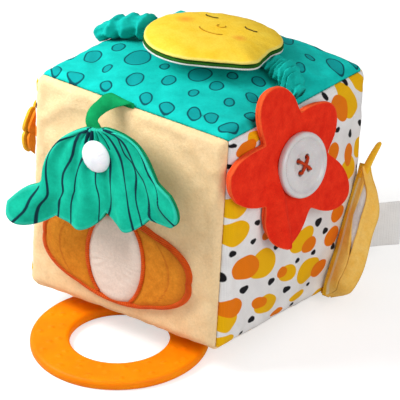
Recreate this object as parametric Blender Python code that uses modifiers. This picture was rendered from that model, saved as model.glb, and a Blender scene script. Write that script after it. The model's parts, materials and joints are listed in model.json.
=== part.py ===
"""Soft fabric activity block: six crowned cloth panels round a fibre filling, with sewn-on play pieces.

Units are metres, +Z is up. The block is built upright, its front face along -Y and its flower side along
+X, and then leans back with its front edge on the teether ring, which lies flat on the floor. The origin is
on the floor, in the middle of the whole object's outline.
"""

import math

import bmesh
import bpy
from mathutils import Matrix, Vector

# Block
EDGE = 0.103
EDGE_ROUND = 0.005
SIDE_CROWN = 0.0025
TOP_CROWN = 0.0045
PANEL_CLOTH = 0.0016
SEAM_GROOVE = 0.0005
FILLING_EASE = 0.0009
GAP = 0.0003
FLAT_CELLS = 8
ROUND_CELLS = 2
LEAN_DEG = 6.8
FLOOR_CUT = 0.0005

# Teether ring on the floor, with its tape
RING_X = 0.0007
RING_Y = -0.0534
RING_MIDLINE = 0.0305
RING_BAND_HALF = 0.00865
RING_THICK_HALF = 0.0023
RING_EDGE_ROUND = 0.0018
RING_TILT_DEG = 1.1
LOOP_CLOTH = 0.0004
LOOP_WIDTH = 0.009
LOOP_EASE_ROUND = 0.00015
LOOP_EASE_LONG = 0.00055
LOOP_OFF_FLOOR = 0.00005
TAB_THICK = 0.0009

# Rattle inside the filling
RATTLE_RADIUS = 0.014
RATTLE_HALF_HEIGHT = 0.011
RATTLE_WALL = 0.0012
RATTLE_CORNER = 0.003
RATTLE_LIP = 0.0015
BALL_RADIUS = 0.003
BALL_CIRCLE = 0.0065
BALL_COUNT = 3

# Fruit patch on the front
PATCH_X = -0.002
PATCH_Z = 0.0300
PATCH_HALF_WIDTH = 0.0415
PATCH_HALF_HEIGHT = 0.0220
PATCH_CLOTH = 0.0009
PATCH_SCALLOP_SHARE = 0.045
PATCH_LOBES = 6
BORDER_WIDTH = 0.0030
BORDER_RISE = 0.0016
RIB_WIDTH = 0.0016
RIB_THICK = 0.0009
RIB_REACH_SHARE = 0.80
RIB_PLACE_SHARES = (-0.36, 0.36)

# Leaf flap with its stalk and press stud
LEAF_TOP = Vector((-0.0087, -0.0660, 0.0937))
LEAF_TURN_DEG = 14.0
LEAF_SPREAD_DEG = 57.0
LEAF_REACH = 0.0685
# place across from -1 to 1, share of the longest reach, and whether it is the tip of a lobe
LEAF_HEM_SHARES = (
    (-1.00, 0.95, False),
    (-0.92, 1.00, True),
    (-0.60, 0.73, False),
    (-0.36, 0.71, True),
    (0.00, 0.555, False),
    (0.32, 0.695, True),
    (0.55, 0.68, False),
    (0.84, 0.845, True),
    (1.00, 0.70, False),
)
LEAF_SHOULDER_SHARES = (0.55, 0.80)
LEAF_SHOULDER_LIFT_SHARE = 0.85
LEAF_HEM_START_SHARE = 0.35
LEAF_FOLD_PITCH_SHARE = 0.58
LEAF_NECK = 0.005
LEAF_FLARE = 0.0055
LEAF_FOLD = 0.0018
LEAF_CLOTH = 0.0011
LINING_GAP = 0.00048
STALK_WIDTH = 0.0064
STALK_THICK = 0.0014
STALK_ROUTE = (
    Vector((-0.0010, -0.0514, 0.1030)),
    Vector((-0.0060, -0.0570, 0.1060)),
    Vector((-0.0098, -0.0612, 0.1026)),
    Vector((-0.0108, -0.0626, 0.0975)),
    Vector((-0.0095, -0.0622, 0.0918)),
)
SNAP_DROP = 0.0123
SNAP_TURN_DEG = 7.5
SNAP_CAP_RADIUS = 0.0072
SNAP_CAP_HEIGHT = 0.0026
SNAP_POST_RADIUS = 0.0013
SNAP_SOCKET_RADIUS = 0.0060
SNAP_SOCKET_HEIGHT = 0.0022
SNAP_SOCKET_BORE = 0.0021
SNAP_STUD_RADIUS = 0.0060
SNAP_STUD_BASE = 0.0012
SNAP_STUD_HEIGHT = 0.0022
SNAP_STUD_Z = 0.0815
SNAP_STUD_X = -0.0071
SNAP_STUD_SEAT = 0.00009

# Felt flower with its button
FLOWER_Y = -0.0088
FLOWER_Z = 0.0800
# direction in degrees from +Y towards +Z, reach, flare of the tip
FLOWER_TIPS = (
    (-190.0, 0.0480, -0.0026),
    (-96.0, 0.0385, 0.0040),
    (-38.0, 0.0490, 0.0030),
    (45.0, 0.0320, 0.0010),
    (118.0, 0.0490, -0.0010),
    (170.0, 0.0480, -0.0026),
)
FLOWER_NOTCHES = (
    (-143.0, 0.0250),
    (-66.0, 0.0300),
    (-10.0, 0.0265),
    (88.0, 0.0270),
    (144.0, 0.0290),
    (217.0, 0.0250),
)
FLOWER_OFF_PANEL = 0.00066
FELT_LAYER_GAP = 0.00042
FLOWER_BACK_SHARE = 0.97
FLOWER_CURL_START_SHARE = 0.5
FELT = 0.0015
BUTTON_RADIUS = 0.016
BUTTON_THICK = 0.0034
BUTTON_RIM = 0.0028
BUTTON_DISH = 0.0011
BUTTON_HOLE_RADIUS = 0.0014
BUTTON_HOLE_PITCH = 0.0034
THREAD_RADIUS = 0.00065

# Sun disc and the gathered strap
STRAP_Y = 0.002
STRAP_WIDTH = 0.0135
STRAP_FLAT_HEIGHT = 0.0055
STRAP_FULL_HEIGHT = 0.0092
STRAP_END_HEIGHT = 0.0078
STRAP_UNDER_DISC = 0.0039
STRAP_SWELL_LENGTH = 0.0071
STRAP_ARM_LENGTH = 0.0316
STRAP_BEND = 0.0095
STRAP_REST = 0.0017
STRAP_LEFT_TURN_DEG = 75.0
STRAP_RIGHT_TURN_DEG = 22.0
STRAP_FOLD = 0.0010
STRAP_FOLD_PITCH = 0.0050
SUN_X = 0.0025
SUN_Y = 0.0035
SUN_RADIUS = 0.0304
SUN_THICK = 0.0013
SUN_PUFF = 0.0013
SUN_WAVE_SHARE = 0.02
SUN_SLOPE_SHARE = 0.044
SUN_BACKING = 0.0007
SUN_TRIM = 0.0006

# Small flower on the left side
DAISY_Y = -0.032
DAISY_Z = 0.0675
DAISY_RADIUS = 0.0145
DAISY_PETALS = 6
DAISY_NOTCH_SHARE = 0.20
DAISY_FLARE = 0.0030
DAISY_CLOTH = 0.0012
DAISY_LAYERS_APART = 0.0026
DAISY_OFF_PANEL = 0.00075
DAISY_BACK_SHARE = 0.96
DAISY_CURL_START_SHARE = 0.25
DAISY_CENTRE_RADIUS = 0.0045
DAISY_CENTRE_HEIGHT = 0.003

# Banana with two peel flaps
BANANA_FOOT_Y = 0.024
BANANA_FOOT_Z = 0.0048
BANANA_LENGTH = 0.0585
BANANA_LEAN_DEG = 23.5
BANANA_WIDTH = 0.0165
BANANA_DEPTH = 0.0040
PEEL_CLOTH = 0.0013
PEEL_SLIT = 0.0022
FLESH_HALF_THICK = 0.0014
FLESH_SHARE = 0.72
FLAP_RIM = 0.0010
FLAP_SWELL = 0.0013
FLAP_OFF_PANEL = 0.0008
FLAP_SLIT_SHARE = 0.48
FLAP_END_SHARE = 0.06
BANANA_FOOT_SHARE = 0.22
BANANA_TOP_SHARE = 0.86
BANANA_STALK_LENGTH = 0.0135
STALK_SEAT_SHARE = 0.75
BANANA_STALK_WIDTH = 0.0048
BANANA_STALK_THICK = 0.0024
BANANA_STALK_LEAN = -0.0015
BANANA_STALK_TAPER_SHARE = 0.35

# Sewn-in tapes
LABEL_HEIGHT = 0.021
LABEL_REACH = 0.025
LABEL_THICK = 0.0008
LABEL_LOW = 0.0145
LABEL_TURN_DEG = 57.0
TAG_WIDTH = 0.006
TAG_REACH = 0.006
TAG_THICK = 0.0018
TAG_Y = 0.036
TAG_Z = 0.0985
TAG_SEAT = 0.00015

HALF = EDGE / 2
FLAT_HALF = HALF - EDGE_ROUND
RING_OUTER = RING_MIDLINE + RING_BAND_HALF
LOOP_HALF_HEIGHT = RING_THICK_HALF + LOOP_EASE_ROUND + LOOP_CLOTH
LOOP_LENGTH = 2 * (RING_BAND_HALF + LOOP_EASE_LONG + LOOP_CLOTH)
LOOP_DROP = LOOP_LENGTH * math.sin(math.radians(RING_TILT_DEG))
RING_HINGE_Y = RING_Y + RING_OUTER + LOOP_EASE_LONG + LOOP_CLOTH + GAP
RING_HINGE_Z = LOOP_HALF_HEIGHT + LOOP_DROP + LOOP_OFF_FLOOR
FLAP_HINGE_X = HALF + SIDE_CROWN + FLAP_OFF_PANEL
STRAP_ARM_START = SUN_RADIUS - STRAP_UNDER_DISC
STRAP_HEIGHTS = (
    (0.0, STRAP_FLAT_HEIGHT),
    (SUN_RADIUS, STRAP_FLAT_HEIGHT),
    (SUN_RADIUS + STRAP_SWELL_LENGTH, STRAP_FULL_HEIGHT),
    (SUN_RADIUS + STRAP_ARM_LENGTH, STRAP_END_HEIGHT),
)

PEACH = (0.93, 0.66, 0.38)
TEAL = (0.02, 0.55, 0.50)
WHITE_COTTON = (0.85, 0.83, 0.80)
LEAF_GREEN = (0.01, 0.45, 0.26)
STALK_GREEN = (0.01, 0.33, 0.10)
PLASTIC_WHITE = (0.85, 0.84, 0.84)
PUMPKIN = (0.80, 0.32, 0.07)
STITCH_ORANGE = (0.64, 0.08, 0.01)
FELT_RED = (0.80, 0.04, 0.01)
SUN_YELLOW = (0.95, 0.66, 0.07)
SUN_GREEN = (0.03, 0.25, 0.03)
BANANA_YELLOW = (0.90, 0.52, 0.04)
BANANA_CREAM = (0.80, 0.52, 0.16)
RING_ORANGE = (1.0, 0.26, 0.0)
FIBRE_WHITE = (0.90, 0.90, 0.88)
RATTLE_BLUE = (0.35, 0.55, 0.75)

FACE_TURNS = {
    "front": Matrix.Rotation(math.radians(90), 3, "X"),
    "back": Matrix.Rotation(math.radians(180), 3, "Z") @ Matrix.Rotation(math.radians(90), 3, "X"),
    "right": Matrix.Rotation(math.radians(90), 3, "Z") @ Matrix.Rotation(math.radians(90), 3, "X"),
    "left": Matrix.Rotation(math.radians(-90), 3, "Z") @ Matrix.Rotation(math.radians(90), 3, "X"),
    "top": Matrix.Identity(3),
    "bottom": Matrix.Rotation(math.radians(180), 3, "X"),
}


def clear_scene():
    for obj in list(bpy.data.objects):
        bpy.data.objects.remove(obj, do_unlink=True)


def new_collection(name):
    made = bpy.data.collections.new(name)
    bpy.context.scene.collection.children.link(made)
    return made


def new_material(name, colour, roughness):
    made = bpy.data.materials.new(name)
    made.use_nodes = True
    shader = made.node_tree.nodes["Principled BSDF"]
    shader.inputs["Base Color"].default_value = (*colour, 1.0)
    shader.inputs["Roughness"].default_value = roughness
    shader.inputs["Metallic"].default_value = 0.0
    return made


def finish(bm, name, colour, roughness=0.9, sharp_deg=40.0, folder=None):
    """Turns a bmesh into a named object with its own material."""
    mesh = bpy.data.meshes.new(name)
    bm.to_mesh(mesh)
    bm.free()
    obj = bpy.data.objects.new(name, mesh)
    (folder or PARTS).objects.link(obj)
    mesh.materials.append(new_material(name + "_material", colour, roughness))
    mesh.shade_smooth()
    mesh.set_sharp_from_angle(angle=math.radians(sharp_deg))
    return obj


def make_cutter(bm, name):
    obj = finish(bm, name, WHITE_COTTON, folder=CUTTERS)
    obj.hide_render = True
    obj.display_type = "WIRE"
    return obj


def cut(obj, cutter, operation="DIFFERENCE"):
    modifier = obj.modifiers.new(operation.lower() + "_" + cutter.name, "BOOLEAN")
    modifier.operation = operation
    modifier.solver = "EXACT"
    modifier.object = cutter


def thicken(obj, thickness, offset=-1.0):
    modifier = obj.modifiers.new("cloth", "SOLIDIFY")
    modifier.thickness = thickness
    modifier.offset = offset
    modifier.use_even_offset = True


def smooth_step(share):
    share = min(max(share, 0.0), 1.0)
    return share * share * (3 - 2 * share)


def lobed(place, tips, notches):
    """Reach and tip share of a lobed edge at a place, from its tips and the notches between them."""
    stations = sorted([(*tip, True) for tip in tips] + [(*notch, False) for notch in notches])
    for first, second in zip(stations, stations[1:]):
        if first[0] <= place <= second[0]:
            share = (place - first[0]) / (second[0] - first[0])
            tip, notch = (first, second) if first[2] else (second, first)
            to_tip = 1 - share if first[2] else share
            swell = math.sin(math.pi / 2 * to_tip)
            return notch[1] + (tip[1] - notch[1]) * swell, swell * to_tip, tip[0]
    return stations[-1][1], 0.0, stations[-1][0]


# Block surface
def grid_lines(end_deg):
    """Cube coordinates of the grid lines of a face: even on the flat, even in angle on the rounds."""
    arcs = [
        (FLAT_HALF + EDGE_ROUND * math.tan(math.radians(end_deg) * step / ROUND_CELLS)) / HALF
        for step in range(1, ROUND_CELLS + 1)
    ]
    flats = [FLAT_HALF / HALF * (2 * step / FLAT_CELLS - 1) for step in range(FLAT_CELLS + 1)]
    return [-line for line in reversed(arcs)] + flats + arcs


def block_point(cube_point, inset):
    """The point of the crowned block under a point of the cube of half side 1, this far inside."""
    crowns = (SIDE_CROWN, SIDE_CROWN, TOP_CROWN if cube_point.z > 0 else 0.0)
    point = cube_point * HALF
    inner = Vector([min(max(c, -FLAT_HALF), FLAT_HALF) for c in point])
    steepest = sorted(abs(c) for c in cube_point)[1]
    groove = SEAM_GROOVE * smooth_step((steepest * HALF - FLAT_HALF) / EDGE_ROUND)
    place = inner + (point - inner).normalized() * (EDGE_ROUND - groove - inset)
    for axis in range(3):
        if abs(cube_point[axis]) > 1 - GAP:
            across = [cube_point[other] for other in range(3) if other != axis]
            rise = crowns[axis] * (1 - across[0] ** 4) * (1 - across[1] ** 4)
            place[axis] += math.copysign(max(rise, 0.0), cube_point[axis])
    place.z += HALF
    return place


def face_point(face, across, up, height=0.0):
    """A point at a height over a face, from its place across and up the face, in metres from its middle."""
    return block_point(FACE_TURNS[face] @ Vector((across / HALF, up / HALF, 1.0)), -height)


def face_normal(face, across, up):
    step = GAP
    along = face_point(face, across + step, up) - face_point(face, across - step, up)
    rise = face_point(face, across, up + step) - face_point(face, across, up - step)
    return along.cross(rise).normalized()


def panel(face, colour):
    """One cloth panel: an outer and an inner skin joined along the seam edge."""
    end_deg = 45.0 - math.degrees(GAP / 2 / EDGE_ROUND)
    lines = grid_lines(end_deg)
    cells = len(lines) - 1
    bm = bmesh.new()
    for inset in (0.0, PANEL_CLOTH):
        made = bmesh.ops.create_grid(bm, x_segments=cells, y_segments=cells, size=1.0)["verts"]
        for vert in made:
            column = round((vert.co.x + 1) / 2 * cells)
            row = round((vert.co.y + 1) / 2 * cells)
            flat = Vector((lines[column], lines[row], 1.0))
            vert.co = block_point(FACE_TURNS[face] @ flat, inset)
        if inset:
            bmesh.ops.reverse_faces(bm, faces=list({f for v in made for f in v.link_faces}))
    rims = [edge for edge in bm.edges if edge.is_boundary]
    bmesh.ops.bridge_loops(bm, edges=rims)
    bmesh.ops.recalc_face_normals(bm, faces=bm.faces)
    return finish(bm, face + "_panel", colour)


def filling_block(name, keep_above):
    """Half of the fibre filling, open at the middle for the rattle."""
    lines = grid_lines(45.0)
    cells = len(lines) - 1
    bm = bmesh.new()
    bmesh.ops.create_cube(bm, size=2.0)
    bmesh.ops.subdivide_edges(bm, edges=bm.edges[:], cuts=cells - 1, use_grid_fill=True)
    for vert in bm.verts:
        cube_point = Vector([lines[round((c + 1) / 2 * cells)] for c in vert.co])
        vert.co = block_point(cube_point, PANEL_CLOTH + FILLING_EASE)
    side = 1 if keep_above else -1
    cut_place = Vector((0, 0, HALF + side * GAP / 2))
    whole = bm.verts[:] + bm.edges[:] + bm.faces[:]
    found = bmesh.ops.bisect_plane(
        bm, geom=whole, plane_co=cut_place, plane_no=(0, 0, side), clear_inner=True
    )
    rim = [item for item in found["geom_cut"] if isinstance(item, bmesh.types.BMEdge)]
    bmesh.ops.contextual_create(bm, geom=rim)
    bmesh.ops.recalc_face_normals(bm, faces=bm.faces)
    obj = finish(bm, name, FIBRE_WHITE)
    cut(obj, RATTLE_POCKET)
    return obj


def make_body():
    for face, colour in (
        ("front", PEACH),
        ("bottom", PEACH),
        ("right", WHITE_COTTON),
        ("left", WHITE_COTTON),
        ("back", PEACH),
        ("top", TEAL),
    ):
        panel(face, colour)
    filling_block("filling_lower", False)
    filling_block("filling_upper", True)


# Shared shapes
def turned(name, profile, colour, roughness=0.4, steps=24, folder=None):
    """A turned piece: a profile of (radius, height) down the outside, screwed round Z."""
    bm = bmesh.new()
    verts = [bm.verts.new((radius, 0, height)) for radius, height in profile]
    for first, second in zip(verts, verts[1:]):
        bm.edges.new((first, second))
    bmesh.ops.spin(
        bm,
        geom=bm.verts[:] + bm.edges[:],
        cent=(0, 0, 0),
        axis=(0, 0, 1),
        angle=math.tau,
        steps=steps,
        use_merge=True,
    )
    bmesh.ops.remove_doubles(bm, verts=bm.verts, dist=GAP / 30)
    bmesh.ops.recalc_face_normals(bm, faces=bm.faces)
    return finish(bm, name, colour, roughness, folder=folder)


def arc(radius_centre, height_centre, radius, start_deg, end_deg, steps):
    """Profile points on an arc, angles from the outward direction."""
    points = []
    for step in range(steps + 1):
        angle = math.radians(start_deg + (end_deg - start_deg) * step / steps)
        points.append(
            (radius_centre + radius * math.cos(angle), height_centre + radius * math.sin(angle))
        )
    return points


def round_sheet(name, rings, spokes, place, colour, inner_share=0.0, roughness=0.9):
    """A sheet from spokes and rings. place(share, angle) gives each point."""
    bm = bmesh.new()
    verts = [
        bm.verts.new((inner_share + (1 - inner_share) * ring / rings, 0, 0))
        for ring in range(rings + 1)
    ]
    for first, second in zip(verts, verts[1:]):
        bm.edges.new((first, second))
    bmesh.ops.spin(
        bm,
        geom=bm.verts[:] + bm.edges[:],
        cent=(0, 0, 0),
        axis=(0, 0, 1),
        angle=math.tau,
        steps=spokes,
        use_merge=True,
    )
    bmesh.ops.remove_doubles(bm, verts=bm.verts, dist=GAP)
    bmesh.ops.recalc_face_normals(bm, faces=bm.faces)
    if sum(face.normal.z for face in bm.faces) < 0:
        bmesh.ops.reverse_faces(bm, faces=bm.faces)
    for vert in bm.verts:
        share = vert.co.xy.length
        vert.co = place(share, math.atan2(vert.co.y, vert.co.x))
    return finish(bm, name, colour, roughness)


def strip_sheet(name, columns, rows, place, colour, roughness=0.9):
    """A sheet from a grid. place(across, along) has shares from -1 to 1 and from 0 to 1."""
    bm = bmesh.new()
    bmesh.ops.create_grid(bm, x_segments=columns, y_segments=rows, size=1.0)
    for vert in bm.verts:
        vert.co = place(vert.co.x, (vert.co.y + 1) / 2)
    return finish(bm, name, colour, roughness)


def turn_to(obj, direction, place):
    """Stands a piece made along +Z on a place, pointing in a direction."""
    turn = Vector((0, 0, 1)).rotation_difference(Vector(direction))
    obj.rotation_mode = "QUATERNION"
    obj.rotation_quaternion = turn
    obj.location = place


# Rattle
def rattle_profile(radius, half_height, corner):
    return (
        [(0.0, half_height), (radius - corner, half_height)]
        + arc(radius - corner, half_height - corner, corner, 75.0, 0.0, 3)
    )


def make_rattle_half(name, top):
    inner_radius = RATTLE_RADIUS - RATTLE_WALL
    inner_height = RATTLE_HALF_HEIGHT - RATTLE_WALL
    inner_corner = RATTLE_CORNER - RATTLE_WALL
    outside = rattle_profile(RATTLE_RADIUS, RATTLE_HALF_HEIGHT, RATTLE_CORNER)
    inside = rattle_profile(inner_radius, inner_height, inner_corner)[::-1]
    if top:
        rim = [(RATTLE_RADIUS, GAP / 2), (inner_radius, GAP / 2)]
    else:
        lip_outer = inner_radius - GAP
        lip_inner = lip_outer - RATTLE_WALL
        rim = [
            (RATTLE_RADIUS, GAP / 2),
            (lip_outer, GAP / 2),
            (lip_outer, -RATTLE_LIP),
            (lip_inner, -RATTLE_LIP),
            (lip_inner, RATTLE_LIP),
            (inner_radius, RATTLE_LIP + RATTLE_WALL),
        ]
    profile = outside + rim + inside
    if not top:
        profile = [(radius, -height) for radius, height in profile]
    obj = turned(name, profile, RATTLE_BLUE, 0.4, 20)
    obj.location = (0, 0, HALF)
    return obj


def make_rattle():
    make_rattle_half("rattle_case_upper", True)
    make_rattle_half("rattle_case_lower", False)
    floor = HALF - RATTLE_HALF_HEIGHT + RATTLE_WALL
    for number in range(BALL_COUNT):
        angle = math.tau * number / BALL_COUNT
        bm = bmesh.new()
        bmesh.ops.create_uvsphere(bm, u_segments=10, v_segments=7, radius=BALL_RADIUS)
        obj = finish(bm, f"rattle_ball_{number + 1}", PLASTIC_WHITE, 0.3)
        obj.location = (
            BALL_CIRCLE * math.cos(angle),
            BALL_CIRCLE * math.sin(angle),
            floor + GAP + BALL_RADIUS,
        )


def make_rattle_pocket():
    bm = bmesh.new()
    bmesh.ops.create_cone(
        bm,
        cap_ends=True,
        segments=20,
        radius1=RATTLE_RADIUS + 2 * GAP,
        radius2=RATTLE_RADIUS + 2 * GAP,
        depth=2 * (RATTLE_HALF_HEIGHT + GAP),
        matrix=Matrix.Translation((0, 0, HALF)),
    )
    return make_cutter(bm, "rattle_pocket")


# Front patch
def patch_place(share, angle, height):
    """A point of the fruit patch: a wide round fruit with a gently lobed edge."""
    lobes = 1 + PATCH_SCALLOP_SHARE * (abs(math.sin(angle * PATCH_LOBES / 2)) - 1)
    across = PATCH_X + PATCH_HALF_WIDTH * share * lobes * math.cos(angle)
    up = PATCH_Z - HALF + PATCH_HALF_HEIGHT * share * lobes * math.sin(angle)
    return face_point("front", across, up, height)


def rib_place(place_share, across, along):
    """A point of a sewn rib, bowed like a meridian of the fruit."""
    up_share = RIB_REACH_SHARE * (2 * along - 1)
    bow = math.sqrt(1 - up_share**2) * place_share
    across_face = PATCH_X + PATCH_HALF_WIDTH * bow + RIB_WIDTH / 2 * across
    up = PATCH_Z - HALF + PATCH_HALF_HEIGHT * up_share
    return face_point("front", across_face, up, GAP + PATCH_CLOTH + GAP)


def make_patch():
    inner_share = 1 - BORDER_WIDTH / PATCH_HALF_HEIGHT
    patch_share = inner_share - GAP / PATCH_HALF_HEIGHT
    patch = round_sheet(
        "fruit_patch", 4, 36, lambda s, a: patch_place(s * patch_share, a, GAP), PUMPKIN
    )
    thicken(patch, PATCH_CLOTH, 1.0)
    border = round_sheet(
        "fruit_border",
        1,
        36,
        lambda s, a: patch_place(s, a, GAP),
        STITCH_ORANGE,
        inner_share=inner_share,
    )
    thicken(border, BORDER_RISE, 1.0)
    for side, share in zip(("left", "right"), RIB_PLACE_SHARES):
        rib = strip_sheet(
            f"fruit_rib_{side}", 1, 8, lambda c, a, s=share: rib_place(s, c, a), STITCH_ORANGE
        )
        thicken(rib, RIB_THICK, 1.0)


# Leaf flap
def leaf_place(across, along, back=0.0):
    """A point of the leaf: a fan of four lobes, with full shoulders at the top and a flared hem."""
    shoulder = LEAF_SHOULDER_SHARES[0] if across < 0 else LEAF_SHOULDER_SHARES[1]
    lift = 1 + LEAF_SHOULDER_LIFT_SHARE * max(0.0, 1 - along / shoulder) ** 2
    angle = math.radians(LEAF_SPREAD_DEG * across * lift + LEAF_TURN_DEG)
    tips = [(place, LEAF_REACH * share) for place, share, tip in LEAF_HEM_SHARES if tip]
    notches = [(place, LEAF_REACH * share) for place, share, tip in LEAF_HEM_SHARES if not tip]
    reach = lobed(across, tips, notches)[0]
    middle = (min(reach for _, reach in notches) + reach) / 2
    out = along * (middle + (reach - middle) * along**2)
    neck = LEAF_NECK * across * (1 - along)
    hem = smooth_step((along - LEAF_HEM_START_SHARE) / (1 - LEAF_HEM_START_SHARE))
    forward = LEAF_FLARE * hem * (1 + across**2) / 2
    fold = LEAF_FOLD * hem * math.cos(math.tau * across / LEAF_FOLD_PITCH_SHARE)
    turn = math.radians(LEAF_TURN_DEG)
    return LEAF_TOP + Vector(
        (
            out * math.sin(angle) + neck * math.cos(turn),
            -forward + fold + back,
            -out * math.cos(angle) + neck * math.sin(turn),
        )
    )


def make_leaf():
    layers = (("leaf_front", 0.0, LEAF_GREEN), ("leaf_lining", LEAF_CLOTH + LINING_GAP, STALK_GREEN))
    post_hole = make_post_hole()
    for name, back, colour in layers:
        sheet = strip_sheet(name, 24, 7, lambda c, a, b=back: leaf_place(c, a, b), colour)
        thicken(sheet, LEAF_CLOTH, 0.0)
        cut(sheet, post_hole)


def snap_place():
    turn = math.radians(SNAP_TURN_DEG)
    return LEAF_TOP + Vector((SNAP_DROP * math.sin(turn), 0, -SNAP_DROP * math.cos(turn)))


def make_post_hole():
    bm = bmesh.new()
    radius = SNAP_POST_RADIUS + GAP
    bmesh.ops.create_cone(
        bm,
        cap_ends=True,
        segments=12,
        radius1=radius,
        radius2=radius,
        depth=SNAP_CAP_RADIUS,
    )
    hole = make_cutter(bm, "post_hole")
    turn_to(hole, (0, -1, 0), snap_place())
    return hole


def make_snap():
    middle = snap_place()
    outer_face = LEAF_CLOTH / 2 + GAP
    inner_face = LEAF_CLOTH / 2 + LINING_GAP + LEAF_CLOTH + GAP
    dome = SNAP_CAP_RADIUS
    crown = [
        (dome * math.sin(math.radians(deg)), SNAP_CAP_HEIGHT * math.cos(math.radians(deg)))
        for deg in range(0, 91, 15)
    ]
    cap = turned(
        "snap_cap",
        [(radius, outer_face + height) for radius, height in crown]
        + [
            (SNAP_POST_RADIUS, outer_face),
            (SNAP_POST_RADIUS, -inner_face),
            (0.0, -inner_face),
        ],
        PLASTIC_WHITE,
        0.25,
        20,
    )
    turn_to(cap, (0, -1, 0), middle)
    socket_end = inner_face + GAP + SNAP_SOCKET_HEIGHT
    socket_floor = inner_face + 2 * GAP
    socket = turned(
        "snap_socket",
        [
            (0.0, -inner_face - GAP),
            (SNAP_SOCKET_RADIUS, -inner_face - GAP),
            (SNAP_SOCKET_RADIUS, -socket_end + GAP),
            (SNAP_SOCKET_RADIUS - GAP, -socket_end),
            (SNAP_SOCKET_BORE, -socket_end),
            (SNAP_SOCKET_BORE, -socket_floor - GAP),
            (0.0, -socket_floor - GAP),
        ],
        PLASTIC_WHITE,
        0.3,
        20,
    )
    turn_to(socket, (0, -1, 0), middle)
    up = SNAP_STUD_Z - HALF
    normal = face_normal("front", SNAP_STUD_X, up)
    stud = turned(
        "snap_stud",
        [
            (0.0, SNAP_STUD_HEIGHT + SNAP_STUD_BASE),
            (SNAP_SOCKET_BORE - 2 * GAP, SNAP_STUD_HEIGHT + SNAP_STUD_BASE),
            (SNAP_SOCKET_BORE - GAP, SNAP_STUD_HEIGHT),
            (SNAP_SOCKET_BORE - 2 * GAP, SNAP_STUD_BASE),
            (SNAP_STUD_RADIUS - GAP, SNAP_STUD_BASE),
            (SNAP_STUD_RADIUS, SNAP_STUD_BASE - GAP),
            (SNAP_STUD_RADIUS, 0.0),
            (0.0, 0.0),
        ],
        PLASTIC_WHITE,
        0.3,
        20,
    )
    turn_to(stud, normal, face_point("front", SNAP_STUD_X, up, GAP + SNAP_STUD_SEAT))


def bezier_route(points, steps):
    """Points on a smooth curve through the route's own points."""
    guide = bpy.data.curves.new("route", "CURVE")
    guide.dimensions = "3D"
    spline = guide.splines.new("BEZIER")
    spline.bezier_points.add(len(points) - 1)
    for handle, place in zip(spline.bezier_points, points):
        handle.co = place
        handle.handle_left_type = handle.handle_right_type = "AUTO"
    guide.resolution_u = steps
    holder = bpy.data.objects.new("route", guide)
    CUTTERS.objects.link(holder)
    mesh = bpy.data.meshes.new_from_object(
        holder.evaluated_get(bpy.context.evaluated_depsgraph_get())
    )
    route = [vert.co.copy() for vert in mesh.vertices]
    bpy.data.objects.remove(holder, do_unlink=True)
    bpy.data.meshes.remove(mesh)
    return route


def make_leaf_stalk():
    """A flat cut stalk that hooks from the seam round to the top of the leaf."""
    route = bezier_route(STALK_ROUTE, 4)
    facing = Vector((0, -1, 0))

    def place(across, along):
        step = round(along * (len(route) - 1))
        ahead = route[min(step + 1, len(route) - 1)] - route[max(step - 1, 0)]
        side = facing.cross(ahead).normalized()
        return route[step] + side * across * STALK_WIDTH / 2

    stalk = strip_sheet("leaf_stalk", 1, len(route) - 1, place, STALK_GREEN)
    thicken(stalk, STALK_THICK, 0.0)


# Flower with button
def flower_place(share, angle, height, size_share=1.0):
    tips = [(direction, reach) for direction, reach, _ in FLOWER_TIPS]
    outline, tip_share, direction = lobed(math.degrees(angle), tips, FLOWER_NOTCHES)
    flares = {tip[0]: tip[2] for tip in FLOWER_TIPS}
    reach = outline * share * size_share
    across = FLOWER_Y + reach * math.cos(angle)
    up = FLOWER_Z + reach * math.sin(angle)
    base = face_point("right", FLOWER_Y, FLOWER_Z - HALF).x
    flare = flares.get(direction, 0.0) * tip_share
    curl = smooth_step((share - FLOWER_CURL_START_SHARE) / (1 - FLOWER_CURL_START_SHARE))
    return Vector((base + height + flare * curl, across, up))


def make_flower():
    back_height = FLOWER_OFF_PANEL
    front_height = back_height + FELT + FELT_LAYER_GAP
    button_height = front_height + FELT + 2 * GAP
    for name, height, size_share in (
        ("flower_back", back_height, FLOWER_BACK_SHARE),
        ("flower_front", front_height, 1.0),
    ):
        sheet = round_sheet(
            name, 4, 60, lambda s, a, h=height, z=size_share: flower_place(s, a, h, z), FELT_RED
        )
        thicken(sheet, FELT, 1.0)
    base = face_point("right", FLOWER_Y, FLOWER_Z - HALF).x
    seat_place = Vector((base + button_height, FLOWER_Y, FLOWER_Z))
    make_button(seat_place)
    make_thread(seat_place)


def make_button(seat_place):
    dish_radius = BUTTON_RADIUS - BUTTON_RIM
    floor = BUTTON_THICK - BUTTON_DISH
    rim_round = BUTTON_RIM / 2
    profile = (
        [(0.0, floor), (dish_radius - rim_round, floor)]
        + arc(BUTTON_RADIUS - rim_round, BUTTON_THICK - rim_round, rim_round, 130.0, 0.0, 4)
        + [(BUTTON_RADIUS, GAP), (BUTTON_RADIUS - GAP, 0.0), (0.0, 0.0)]
    )
    button = turned("flower_button", profile, PLASTIC_WHITE, 0.25, 28)
    turn_to(button, (1, 0, 0), seat_place)
    bm = bmesh.new()
    for across in (-1, 1):
        for up in (-1, 1):
            place = (across * BUTTON_HOLE_PITCH / 2, up * BUTTON_HOLE_PITCH / 2, 0)
            bmesh.ops.create_cone(
                bm,
                cap_ends=True,
                segments=10,
                radius1=BUTTON_HOLE_RADIUS,
                radius2=BUTTON_HOLE_RADIUS,
                depth=4 * BUTTON_THICK,
                matrix=Matrix.Translation(place),
            )
    holes = make_cutter(bm, "button_holes")
    turn_to(holes, (1, 0, 0), seat_place)
    cut(button, holes)


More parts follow.
